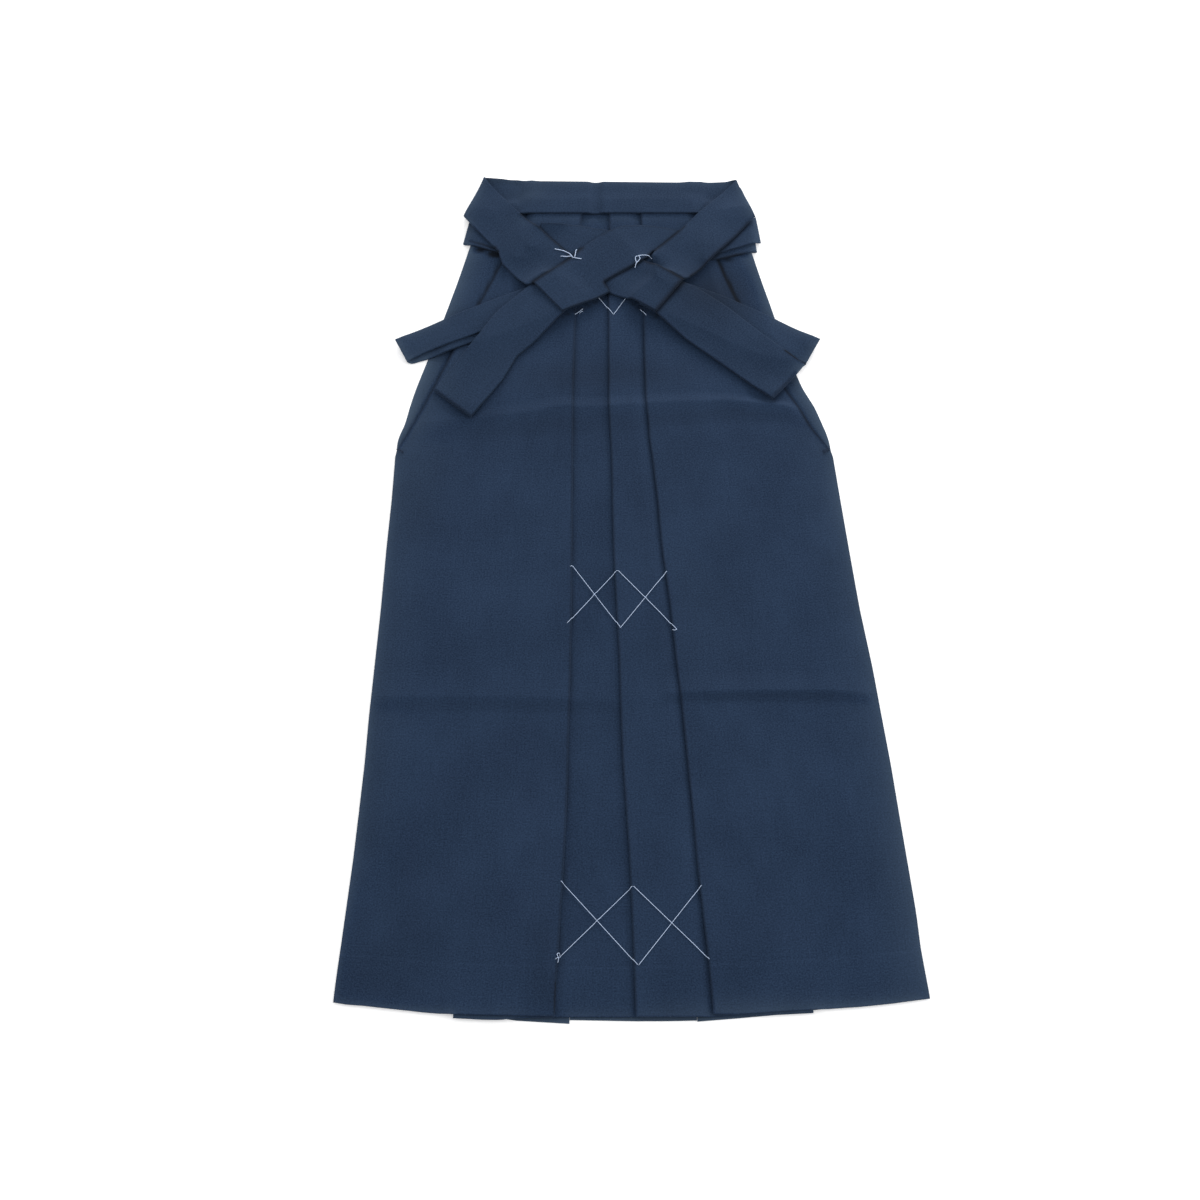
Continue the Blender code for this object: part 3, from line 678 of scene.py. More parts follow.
# ---------------------------------------------------------------------------------------------
# Basting: pale two-ply cotton, tacked across the three pleats in long slanting stitches to keep
# them pressed until the trousers are worn. There are three crosses, the top one under the ties.
# ---------------------------------------------------------------------------------------------
basting_cotton = bpy.data.materials.new("basting_cotton")
basting_cotton.use_nodes = True
cotton_nodes, cotton_links = basting_cotton.node_tree.nodes, basting_cotton.node_tree.links
cotton_shader = cotton_nodes["Principled BSDF"]
socket(cotton_shader, "Roughness", 0.75)
socket(cotton_shader, "Specular IOR Level", 0.25)
cotton_grain = cotton_nodes.new("ShaderNodeAttribute")
cotton_grain.attribute_name = "grain"
cotton_fibre = cotton_nodes.new("ShaderNodeTexNoise")
socket(cotton_fibre, "Scale", 0.6)
socket(cotton_fibre, "Detail", 3.0)
cotton_links.new(cotton_grain.outputs["Vector"], cotton_fibre.inputs["Vector"])
cotton_tone = cotton_nodes.new("ShaderNodeValToRGB")
cotton_tone.color_ramp.elements[0].position = 0.3
cotton_tone.color_ramp.elements[0].color = (0.50, 0.62, 0.84, 1.0)
cotton_tone.color_ramp.elements[1].position = 0.7
cotton_tone.color_ramp.elements[1].color = (0.62, 0.74, 0.94, 1.0)
cotton_links.new(cotton_fibre.outputs["Fac"], cotton_tone.inputs["Fac"])
cotton_links.new(cotton_tone.outputs["Color"], cotton_shader.inputs["Base Color"])
cotton_bump = cotton_nodes.new("ShaderNodeBump")
socket(cotton_bump, "Strength", 0.4)
socket(cotton_bump, "Distance", 0.0001)
cotton_links.new(cotton_fibre.outputs["Fac"], cotton_bump.inputs["Height"])
cotton_links.new(cotton_bump.outputs["Normal"], cotton_shader.inputs["Normal"])


def run_along(points):
    """How far along a line each of its points is."""
    steps = np.linalg.norm(np.diff(points, axis=0), axis=1)
    return np.concatenate([[0.0], np.cumsum(steps)])


def softened(line):
    """The inner points of a line, each drawn towards the middle of its neighbours."""
    return 0.25 * line[:-2] + 0.5 * line[1:-1] + 0.25 * line[2:]


def stretched(heights, at):
    """The line that a taut thread takes over these heights, from its first point to its last."""
    kept = [0]
    for k in range(1, len(at)):
        while len(kept) > 1:
            i, j = kept[-2], kept[-1]
            if (heights[j] - heights[i]) * (at[k] - at[i]) <= (heights[k] - heights[i]) * (at[j] - at[i]):
                kept.pop()
            else:
                break
        kept.append(k)
    return np.interp(at, at[kept], heights[kept])


def stitch(points, ply, sinks=(True, True), tautness=0.35):
    """Points along one stitch that lies on the pile. Where it sinks, its end goes into the cloth."""
    points = np.array(points, float)
    lengths = run_along(points)
    at = np.linspace(0.0, lengths[-1], max(5, int(lengths[-1] / 0.55) + 1))
    plan = np.stack([np.interp(at, lengths, points[:, k]) for k in (0, 1)], 1)
    if len(points) > 2:
        for _ in range(4):
            plan[1:-1] = softened(plan)
    i, j = cells_of(plan)
    under = np.maximum.reduce([pile[i + di, j + dj] for di in (-1, 0, 1) for dj in (-1, 0, 1)])
    drawn = stretched(under, at)
    soft = under.copy()
    for _ in range(6):
        soft[1:-1] = np.maximum(under[1:-1], softened(soft))
    z = tautness * drawn + (1 - tautness) * soft + 1.7 * ply
    for sunk, away in zip(sinks, (at, at[-1] - at)):
        if sunk:
            z -= (3.4 * ply + 0.5) * (1.0 - np.minimum(away / 1.4, 1.0)) ** 2
    np.maximum.at(pile, (i, j), z + 1.7 * ply)
    return np.column_stack([plan, z])


def twisted(name, runs, ply, material, pitch=1.9, sides=5):
    """A thread of two plies twisted together, along each of the runs."""
    points, faces, grain = [], [], []
    for run in runs:
        ahead = np.gradient(run, axis=0)
        ahead /= np.linalg.norm(ahead, axis=1)[:, None]
        aside = np.cross(ahead, (0.0, 0.0, 1.0))
        aside /= np.linalg.norm(aside, axis=1)[:, None]
        over = np.cross(aside, ahead)
        at = run_along(run)
        for turned in (0.0, math.pi):
            phase = 2 * math.pi * at / pitch + turned
            middle = run + 0.7 * ply * (np.cos(phase)[:, None] * aside + np.sin(phase)[:, None] * over)
            first = len(points)
            for k in range(len(run)):
                for side in range(sides):
                    angle = 2 * math.pi * side / sides
                    ring = ply * (math.cos(angle) * aside[k] + math.sin(angle) * over[k])
                    points.append(tuple((middle[k] + ring + TO_CENTRE) * MM))
                    grain.append((at[k], angle, turned * 5.0 + first))
            for k in range(len(run) - 1):
                for side in range(sides):
                    a = first + k * sides + side
                    b = first + k * sides + (side + 1) % sides
                    faces.append((a, a + sides, b + sides, b))
            faces.append(tuple(range(first, first + sides)))
            faces.append(tuple(range(len(points) - 1, len(points) - 1 - sides, -1)))
    mesh = bpy.data.meshes.new(name)
    mesh.from_pydata(points, [], faces)
    mesh.polygons.foreach_set("use_smooth", [len(face) == 4 for face in faces])
    held = mesh.attributes.new("grain", "FLOAT_VECTOR", "POINT")
    held.data.foreach_set("vector", np.array(grain, np.float32).ravel())
    mesh.materials.append(material)
    piece = bpy.data.objects.new(name, mesh)
    bpy.context.scene.collection.objects.link(piece)
    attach(piece, "root")
    return piece


BASTING_PLY = 0.21
CROSSES = {
    "basting_top": (
        ((-58.6, 305.0), (-49.6, 314.6)), ((-33.0, 333.0), (-12.0, 356.0)), ((-12.0, 356.0), (1.0, 331.0)),
        ((13.6, 313.0), (20.8, 303.7)), ((-45.8, 347.0), (-16.0, 305.4)), ((-15.7, 305.0), (7.0, 341.0)),
        ((-53.8, 307.8), (-49.5, 311.5)),
    ),
    "basting_middle": (
        ((-62.2, -5.3), (-59.6, -4.8)), ((-59.1, -5.1), (-11.6, -72.6)), ((-11.6, -72.6), (-9.6, -76.1)),
        ((-9.6, -76.1), (39.2, -10.7)), ((-64.9, -70.7), (-14.1, -11.1)), ((-14.1, -11.1), (-12.0, -10.4)),
        ((-12.0, -10.4), (48.6, -77.8)), ((48.6, -77.8), (46.0, -79.2), (43.8, -77.5)),
    ),
    "basting_lower": (
        ((-69.2, -347.2), (5.6, -431.5)), ((6.2, -431.8), (68.5, -351.7)), ((-70.9, -424.3), (1.0, -352.7)),
        ((1.8, -352.9), (74.7, -425.9)),
        ((-70.9, -424.3), (-72.6, -421.0), (-70.0, -419.6), (-69.2, -423.4)),
        ((-70.9, -424.3), (-74.0, -426.0)), ((-70.4, -424.8), (-71.4, -429.5)),
    ),
}
for cross, stitches in CROSSES.items():
    twisted(cross, [stitch(points, BASTING_PLY) for points in stitches], BASTING_PLY, basting_cotton)

# ---------------------------------------------------------------------------------------------
# Bar tacks: navy sewing thread, wrapped five times over the foot of each side opening. They keep
# the opening from tearing further down when the wearer sits or kneels.
# ---------------------------------------------------------------------------------------------
tack_thread = basting_cotton.copy()
tack_thread.name = "tack_thread"
for node in tack_thread.node_tree.nodes:
    if node.type == "VALTORGB":
        node.color_ramp.elements[0].color = (0.006, 0.014, 0.034, 1.0)
        node.color_ramp.elements[1].color = (0.016, 0.032, 0.07, 1.0)
TACKS = {
    "bar_tack_left": ((-249.5, 136.0), (-242.5, 131.5)),
    "bar_tack_right": ((216.0, 136.5), (209.0, 131.5)),
}
TACK_PLY = 0.17
TACK_WRAPS = 5
TACK_SPACING = 0.62
for tack, (outside, inside) in TACKS.items():
    along = np.array(inside) - np.array(outside)
    beside = np.array((along[1], -along[0])) / np.linalg.norm(along)
    wraps = []
    for k in range(TACK_WRAPS):
        shift = beside * (k - TACK_WRAPS // 2) * TACK_SPACING + along * 0.04 * (k % 2)
        wraps.append(stitch((np.array(outside) + shift, np.array(inside) + shift), TACK_PLY))
    twisted(tack, wraps, TACK_PLY, tack_thread)

# ---------------------------------------------------------------------------------------------
# Ties: the same suiting cut in long strips, folded on itself and pressed to four thicknesses.
# The back tie's middle lies under the back's waist, and its ends come round onto the front.
# ---------------------------------------------------------------------------------------------
tie_suiting = suiting("tie_suiting", (0.0213, 0.0415, 0.0835), (0.0056, 0.0146, 0.0342))
TIE_TURN = TIE + TIE_AIR / 2
ROUNDED = 1.5
BACK_TIE_LEFT_END = {
    "a": ((-118, 378), (-148, 388), (-185.6, 400.5)),
    "b": ((-112, 412), (-144, 424), (-178, 438)),
}
BACK_BAND = {"a": ((-185.6, 400.5), (146, 390)), "b": ((-178, 438), (142, 434))}
BACK_TIE_RIGHT_UNDER = {
    "a": ((146, 390), (103, 378), (88, 374)),
    "b": ((142, 434), (104, 422), (90, 416)),
}
BACK_TIE_RIGHT_END = {
    "a": ((88, 374), (100, 384), (150.8, 401.8)),
    "b": ((90, 416), (100, 424), (146, 437)),
}


def strip(sides, start=0.0, end=0.0, step=1.5, across=30):
    """Points of one layer of a tie: a and b are its long edges, taken in step, with softened bends.

    start and end draw its first and last rows in, so that the fold beyond them ends on the line given.
    """
    a, b = (np.array(sides[key], float) for key in "ab")
    rows = [np.stack([a[0], b[0]])]
    for k in range(len(a) - 1):
        run = max(np.linalg.norm(a[k + 1] - a[k]), np.linalg.norm(b[k + 1] - b[k]))
        parts = max(1, int(math.ceil(run / step)))
        for part in range(1, parts + 1):
            t = part / parts
            rows.append(np.stack([a[k] * (1 - t) + a[k + 1] * t, b[k] * (1 - t) + b[k + 1] * t]))
    rows = np.array(rows)
    for _ in range(4):
        rows[1:-1] = softened(rows)
    for row, beyond, by in ((0, 1, start), (-1, -2, end)):
        if by:
            ahead = rows[beyond] - rows[row]
            length = np.linalg.norm(ahead, axis=1)[:, None]
            rows[row] += ahead / length * by
            keep = 1 if row == 0 else len(rows) - 2
            rows[keep] = 0.5 * (rows[row] + rows[keep + (1 if row == 0 else -1)])
    width = np.linalg.norm(rows[:, 1] - rows[:, 0], axis=1).mean()
    near = NEAR_EDGE / width
    share = np.concatenate([near, np.linspace(2.6 / width, 1 - 2.6 / width, across - 1), 1 - near[::-1]])
    grid = np.zeros((len(rows), len(share), 3))
    grid[:, :, :2] = rows[:, :1] * (1 - share[None, :, None]) + rows[:, 1:] * share[None, :, None]
    return grid


def window(grid, margin):
    """The part of the pile that a strip covers, as slices."""
    i, j = cells_of(grid.reshape(-1, 3))
    return slice(i.min() - margin, i.max() + margin + 1), slice(j.min() - margin, j.max() + margin + 1)


def shifted(field):
    for di in (-1, 0, 1):
        for dj in (-1, 0, 1):
            yield np.roll(np.roll(field, di, 0), dj, 1)


def grown(field, times):
    for _ in range(times):
        field = np.maximum.reduce(list(shifted(field)))
    return field


def taut(need, mask, rounds):
    """Heights of cloth drawn over what lies under it: never through it, and smooth between."""
    z, weight = np.where(mask, need, 0.0), mask.astype(float)
    count = np.maximum(sum(shifted(weight)), 1.0)
    for _ in range(rounds):
        z = np.where(mask, np.maximum(need, sum(shifted(z * weight)) / count), 0.0)
    return z


def covered_by(grid):
    """Which cells of the pile a strip covers."""
    mask = np.zeros(pile.shape, bool)
    mask[tuple(cells_of(filled(grid)))] = True
    return mask


def read_map(field, i, j, u, v):
    """A map's value between its cells: u and v are the shares of the way to the next ones."""
    low = field[i, j] * (1 - u) + field[i + 1, j] * u
    high = field[i, j + 1] * (1 - u) + field[i + 1, j + 1] * u
    return low * (1 - v) + high * v


def heights_under(grid, rounds=45, reach=2):
    """How high a strip lies, when it is drawn over the pile as it now stands."""
    area = window(grid, 8)
    mask = grown(covered_by(grid)[area].astype(float), 3) > 0
    z = taut(grown(pile[area], reach), mask, rounds)
    at = (grid[:, :, :2] - PILE_CORNER) / CELL - 0.5 - (area[0].start, area[1].start)
    i, j = np.floor(at[:, :, 0]).astype(int), np.floor(at[:, :, 1]).astype(int)
    return read_map(z, i, j, at[:, :, 0] - i, at[:, :, 1] - j) + TIE_AIR


def tie_top(grid):
    """Top of a pressed tie: rounded at both folded edges, and slightly full between them."""
    top = grid.copy()
    across = np.linalg.norm(grid - grid[:, :1], axis=2)
    edge = np.minimum(across, np.linalg.norm(grid - grid[:, -1:], axis=2))
    rounding = np.sqrt(np.clip(1.0 - (1.0 - np.minimum(edge / ROUNDED, 1.0)) ** 2, 0.0, 1.0))
    fullness = 0.25 * ease(1.0, 12.0, edge) + 0.12 * ripple(grid[:, :, 0] * 2.1 + 40.0, grid[:, :, 1] * 2.1)
    top[:, :, 2] += TIE * (0.42 + 0.58 * rounding) - 0.25 + fullness
    return top


def laid(grid, rounds=45, reach=2):
    """Lays a strip on the pile, and gives its underside and its top."""
    grid[:, :, 2] = heights_under(grid, rounds, reach)
    top = tie_top(grid)
    stamp(top)
    return grid, top


def lay_tie(name, layers, node, seed):
    lay_down(name, layers, node, tie_suiting, TIE, TIE_AIR, seed, True)


back_band = strip(BACK_BAND, TIE_TURN, TIE_TURN, 5.0)
back_ties = [
    laid(strip(BACK_TIE_LEFT_END, 0, TIE_TURN)), (back_band, tie_top(back_band)),
    laid(strip(BACK_TIE_RIGHT_UNDER, TIE_TURN, TIE_TURN)), laid(strip(BACK_TIE_RIGHT_END, TIE_TURN, 0)),
]
lay_tie(
    "tie_back", back_ties, "back_tie",
    11.0,
)

# ---------------------------------------------------------------------------------------------
# Front band: the middle of the front tie, sewn over the tops of the pleats. It is folded back at
# both ends, and its two ends are laid down slantwise across the waist once the arms are down.
# ---------------------------------------------------------------------------------------------
FRONT_BAND = {
    "a": ((-186, 435), (-150, 437.4), (-118, 438.4), (65, 438.4), (80, 438.4), (144.8, 433)),
    "b": ((-164, 489.6), (-130, 487.8), (-100, 484.2), (60, 482.3), (86, 485.4), (126.6, 487.2)),
}
BAND_ACROSS = 34
front_band = laid(strip(FRONT_BAND, TIE_TURN, TIE_TURN, 1.6, BAND_ACROSS), 40, 8)

# ---------------------------------------------------------------------------------------------
# Four arms: the long ends of the ties, brought out to each side and folded back on themselves at
# the tip. The two low ones are laid first, and the two high ones over them.
# ---------------------------------------------------------------------------------------------
ARM_LEFT_LOW_UNDER = {
    "a": ((-84, 314), (-174, 267.3), (-220, 249), (-238.2, 243.5)),
    "b": ((-94, 340), (-184, 298), (-231, 278), (-253.2, 268.6)),
}
ARM_LEFT_LOW_OVER = {
    "a": ((-244.2, 244.5), (-222, 256.2), (-169, 277.4), (-84, 318)),
    "b": ((-257.8, 271.6), (-235.5, 283.2), (-167, 315.4), (-94, 347)),
}
ARM_LEFT_HIGH_UNDER = {
    "a": ((-54, 326), (-72, 306), (-104, 268), (-122, 250), (-137, 221), (-171, 172)),
    "b": ((-90, 350), (-110, 334), (-144, 302), (-161, 277), (-177, 255), (-212, 206)),
}
ARM_LEFT_HIGH_OVER = {
    "a": ((-171, 172), (-137, 219), (-122, 249), (-104, 266), (-72, 304), (-54, 324)),
    "b": ((-212, 206), (-179, 255), (-163, 277), (-146, 303), (-112, 336), (-92, 352)),
}
ARM_RIGHT_LOW_UNDER = {
    "a": ((26, 324), (87, 293), (140, 264), (190, 240)),
    "b": ((42, 350), (102, 322), (157, 295), (205, 269)),
}
ARM_RIGHT_LOW_OVER = {
    "a": ((196.4, 241.1), (142, 266), (89, 295), (28, 326)),
    "b": ((213.4, 271.9), (159.5, 300.8), (104, 328.4), (44, 353.8)),
}
ARM_RIGHT_HIGH_UNDER = {
    "a": ((12, 318), (31, 306), (64, 273), (110, 235), (157, 194)),
    "b": ((42, 350), (78, 331), (108, 309), (145, 275), (193, 238)),
}
ARM_RIGHT_HIGH_OVER = {
    "a": ((157, 194), (110, 233), (63, 271), (31, 304), (12, 316)),
    "b": ((193, 238), (147, 276), (110, 310), (80, 333), (44, 352)),
}
ARMS = (
    ("arm_left_low", ARM_LEFT_LOW_UNDER, ARM_LEFT_LOW_OVER, "cloth_front_left"),
    ("arm_right_low", ARM_RIGHT_LOW_UNDER, ARM_RIGHT_LOW_OVER, "cloth_front_right"),
    ("arm_left_high", ARM_LEFT_HIGH_UNDER, ARM_LEFT_HIGH_OVER, "tie_arm_left_low"),
    ("arm_right_high", ARM_RIGHT_HIGH_UNDER, ARM_RIGHT_HIGH_OVER, "tie_arm_right_low"),
)
ARM_TAUT = 150
ARM_REACH = 6
for seed, (arm, under_sides, over_sides, lies_on) in enumerate(ARMS, 12):
    under = laid(strip(under_sides, 0, TIE_TURN), ARM_TAUT, ARM_REACH)
    over = strip(over_sides, TIE_TURN, 0)
    over[:, :, 2] = heights_under(over, ARM_TAUT, ARM_REACH)
    over[0, :, 2] = np.maximum(over[0, :, 2], under[0][-1, :, 2] + TIE + TIE_AIR)
    over_top = tie_top(over)
    stamp(over_top)
    lay_tie("tie_" + arm, [under, (over, over_top)], arm, float(seed))

# ---------------------------------------------------------------------------------------------
# Across the middle: two wraps of the ties cross here. The front tie's left end goes over the lower
# wrap and under the upper one. Its right end goes under the lower wrap and over the upper one.
# ---------------------------------------------------------------------------------------------
WRAP_UNDER = {
    "a": ((31, 303), (5, 319.5), (-20, 332), (-55, 353), (-84, 374), (-108, 392)),
    "b": ((62, 343), (42, 357), (21, 371), (-20, 415), (-54, 421.5), (-97, 421)),
}
WRAP_OVER = {
    "a": (
        (-72, 303), (-45, 318), (-20, 331.5), (-23.5, 339), (-27, 344.5), (-17, 351),
        (-8, 357), (20, 374.5), (29, 386), (54, 397), (76, 405),
    ),
    "b": (
        (-105, 340), (-88, 353.6), (-78, 362), (-62, 377), (-53, 387), (-44, 395.5),
        (-22, 412), (-5, 421), (14, 422), (34, 420), (60, 414),
    ),
}
FRONT_TIE_LEFT_END = {
    "a": ((-98, 342), (-112.5, 337), (-140.5, 370.5), (-145.3, 387), (-186, 435)),
    "b": ((-59.5, 375.2), (-71.0, 386.8), (-106, 421.9), (-120, 435.8), (-164, 489.6)),
}
FRONT_TIE_RIGHT_END = {
    "a": ((144.8, 433), (122.8, 406.8), (103.2, 385.2), (84.2, 363.5), (67, 347), (56, 341)),
    "b": ((126.6, 487.2), (79, 436), (56, 410), (31, 386), (27, 376), (30, 361)),
}
END_STEP = 1.5
right_end = strip(FRONT_TIE_RIGHT_END, TIE_TURN, 0, END_STEP, BAND_ACROSS)
wrap_under = strip(WRAP_UNDER, across=BAND_ACROSS)
wrap_over = strip(WRAP_OVER, across=BAND_ACROSS)


def distance_to(grid, points):
    """How far points lie from a strip, in plan."""
    covered = np.argwhere(covered_by(grid))[::3] * CELL + PILE_CORNER
    flat = points[:, :, :2].reshape(-1, 2)
    nearest = [np.sqrt(((covered - point) ** 2).sum(1).min()) for point in flat]
    return np.array(nearest).reshape(points.shape[:2])


# The right end is laid twice: its low rows before the wraps, and the rest on top of the upper one.
low_heights = heights_under(right_end, 260, 4)
low_part = right_end.copy()
low_part[:, :, 2] = low_heights
low_rows = (right_end[:, -1, 1] < 374) & (right_end[:, 0, 1] < 352)
stamp(tie_top(low_part)[np.argmax(low_rows) :])
wrap_under = laid(wrap_under, 150, 7)
lay_tie("tie_wrap_lower", [wrap_under], "tie_wrap_under", 17.0)
left_end = laid(strip(FRONT_TIE_LEFT_END, 0, TIE_TURN, END_STEP, BAND_ACROSS), 200, 3)
wrap_over[:, :, 2] = heights_under(wrap_over, 220, 6)
close_down = ease(-30.0, 5.0, wrap_over[:, :, 0])
wrap_over[:, :, 2] += close_down * (heights_under(wrap_over, 150, 1) - wrap_over[:, :, 2])
wrap_over = (wrap_over, tie_top(wrap_over))
stamp(wrap_over[1])
lay_tie("tie_wrap_upper", [wrap_over], "tie_wrap_over", 18.0)
high_heights = heights_under(right_end, 260, 4)
from_over = np.maximum(0.0, distance_to(wrap_over[0], right_end) - 4.0)
from_under = np.maximum(0.0, distance_to(wrap_under[0], right_end) - 4.0)
share = ease(0.0, 1.0, from_over / np.maximum(from_over + from_under, 1e-6)) * (right_end[:, :, 1] < 410)
right_end[:, :, 2] = high_heights * (1 - share) + low_heights * share
front_tie = [left_end, front_band, (right_end, tie_top(right_end))]
lay_tie(
    "tie_front", front_tie, "front_tie",
    19.0,
)

# ---------------------------------------------------------------------------------------------
# Painted shade: where one layer's edge lies on another, a fine dark line of shade is painted in.
# It follows the ties' edges across the middle, the pleats and the free edges of the side openings.
# Painted light: along the garment's outline the colour is painted paler, as if lit from the paper.
# ---------------------------------------------------------------------------------------------
shade_maps = {"cloth_": np.zeros(pile.shape), "tie_": np.zeros(pile.shape)}
SHADE_REACH = 5


def shade_along(edge, strength, on="tie_", width=2.2):
    """Paints a line of shade along a line of points in plan, strength at its middle."""
    edge = np.array(edge, float)
    lengths = run_along(edge)
    at = np.arange(0.0, lengths[-1], 0.5)
    line = np.stack([np.interp(at, lengths, edge[:, k]) for k in (0, 1)], 1)
    for point in line:
        i, j = (np.floor((point - PILE_CORNER) / CELL)).astype(int)
        columns = np.arange(i - SHADE_REACH, i + SHADE_REACH + 1)
        rows = np.arange(j - SHADE_REACH, j + SHADE_REACH + 1)
        dx = columns[:, None] + 0.5 - (point[0] - PILE_CORNER[0])
        dy = rows[None, :] + 0.5 - (point[1] - PILE_CORNER[1])
        mark = strength * np.exp(-(dx * dx + dy * dy) / (width * width))
        patch = shade_maps[on][columns[0] : columns[-1] + 1, rows[0] : rows[-1] + 1]
        np.maximum(patch, mark, out=patch)


def edge_points(grid, side, keep):
    """The points of a strip's long edge, where keep(x, y) holds."""
    edge = grid[:, 0 if side == "a" else -1, :2]
    return edge[keep(edge[:, 0], edge[:, 1])]


def shade_down(line, low, high, strength, width=2.2):
    """Paints a line of shade on the panels along a lengthwise line, between two heights."""
    rows = np.arange(low, high, 2.0)
    shade_along(np.stack([line_at(line, rows), rows], 1), strength, "cloth_", width)


shade_along(edge_points(left_end[0], "b", lambda x, y: y < 436), 0.9)
shade_along(edge_points(right_end, "b", lambda x, y: (y < 419) & (y > 384)), 1.0)
shade_along(edge_points(right_end, "a", lambda x, y: (y < 425) & (y > 350)), 0.7)
shade_along(edge_points(wrap_over[0], "b", lambda x, y: x < -50), 1.0, width=2.8)
shade_along(edge_points(wrap_over[0], "b", lambda x, y: x > -30), 0.35)
shade_along(edge_points(wrap_over[0], "a", lambda x, y: (y > 338) & (x < 30)), 0.8)
shade_along(edge_points(wrap_under[0], "b", lambda x, y: x > 20), 1.0, width=2.8)
shade_along(edge_points(wrap_under[0], "b", lambda x, y: x < -18), 0.35)
for on in shade_maps:
    shade_along(edge_points(wrap_over[0], "a", lambda x, y: (y < 340) & (x < -15)), 0.7, on, 1.6)
    shade_along(edge_points(wrap_under[0], "a", lambda x, y: (x > 0) & (y < 330)), 0.5, on, 1.6)
    shade_along(wrap_under[0][0, :, :2], 0.75, on, 3.2)
    shade_along(((-171, 172), (-212, 206)), 0.12, on)
    shade_along(((157, 194), (193, 238)), 0.35, on)
# Painted shade along the pleats' folds, darker near the hem, and along the free edges of the side openings.
for fold, strength in (("fold_left", 0.35), ("fold_mid", 0.1), ("fold_right", 0.25)):
    shade_down(fold, -478.0, 318.0, strength, 1.5)
for fold, strength in (("fold_left", 1.0), ("fold_mid", 0.4)):
    shade_down(fold, -479.0, -446.0, strength, 1.5)
for opening, strength in (("front_left", 0.9), ("front_right", 1.0)):
    shade_down(opening, 138.0, 384.0, strength)
# Painted shade in the slit at the tip of the right low arm, and along the lower edges of the back tie's two
# ends.
shade_along(((173.5, 254.5), (181.0, 248.3), (191.5, 239.6)), 2.5, width=1.9)
shade_along(((-177.4, 402.3), (-163.7, 398.2), (-147.8, 391.5)), 0.9, width=1.4)
for on in shade_maps:
    shade_along(((-174.0, 394.5), (-165.0, 391.8), (-156.0, 388.6), (-146.5, 386.0)), 2.2, on, 2.2)
    shade_along(((135.0, 386.0), (122.0, 383.8), (110.5, 380.0), (100.5, 376.0)), 0.9, on, 2.0)

# Painted light along the garment's outline: how near the outline each cell is,
# 1 beyond it, falling by a share for each cell inside.
GLOW_CELLS = 22
GLOW_FALL = 4.5
NEIGHBOURS = ((1, 0), (-1, 0), (0, 1), (0, -1), (1, 1), (1, -1), (-1, 1), (-1, -1))
painted_outline_glow = (pile < 0.3).astype(float)
for _ in range(GLOW_CELLS):
    spread_to = [painted_outline_glow]
    for di, dj in NEIGHBOURS:
        fall = math.exp(-math.hypot(di, dj) / GLOW_FALL)
        spread_to.append(np.roll(np.roll(painted_outline_glow, di, 0), dj, 1) * fall)
    painted_outline_glow = np.maximum.reduce(spread_to)

# Broad soft patches painted into the colour. Two pale ones are painted light, thinning the shade
# under the front band and beside the front tie's left end; the others make the cloth darker or
# paler. Their centres, how far they reach to the sides and up and down, and how dark they are
# (below 0, pale).
TONE_AND_LIGHT_PATCHES = (
    (97, 338, 38, 32, 0.5), (-30, 228, 96, 20, 0.25), (-215, 222, 30, 42, -0.09),
    (-222, 115, 34, 70, -0.04), (-255, -420, 60, 70, 0.15), (67, -50, 45, 100, -0.02),
    (-30, 431.5, 85, 3.6, -0.1), (-112, 426, 12, 6, -0.08), (-84, -425, 14, 62, 0.12),
    (268, -290, 22, 170, -0.06), (226, 85, 14, 42, -0.09), (115, -474, 85, 12, -0.1),
    (-234, 172, 14, 28, -0.1), (-112, 468, 22, 14, -0.12), (125, 318, 24, 24, 0.12),
    (17, 22, 14, 52, 0.08), (95, 35, 28, 30, 0.06),
)


def tone_and_light_patches(x, y):
    """How dark or pale the soft patches make the colour, painted light among them."""
    return sum(
        dark * np.exp(-(((x - middle_x) / wide) ** 2) - ((y - middle_y) / high) ** 2)
        for middle_x, middle_y, wide, high, dark in TONE_AND_LIGHT_PATCHES
    )


def crease_shade(x, y, line):
    """Painted shade on the hem side of a crease across the front, whose slope there turns from the waist
    lamp.
    """
    run = np.interp(x, line["x"], line["below"])
    off = y - np.interp(x, line["x"], line["y"]) + 0.6 * run
    up = np.interp(x, line["x"], line["up"], left=0.0, right=0.0)
    return 0.04 * up * np.exp(-((off / (0.38 * run)) ** 2))


# How far painted light draws the colour toward the paler navy along the outline.
PAINTED_GLOW_SHARE = 0.42
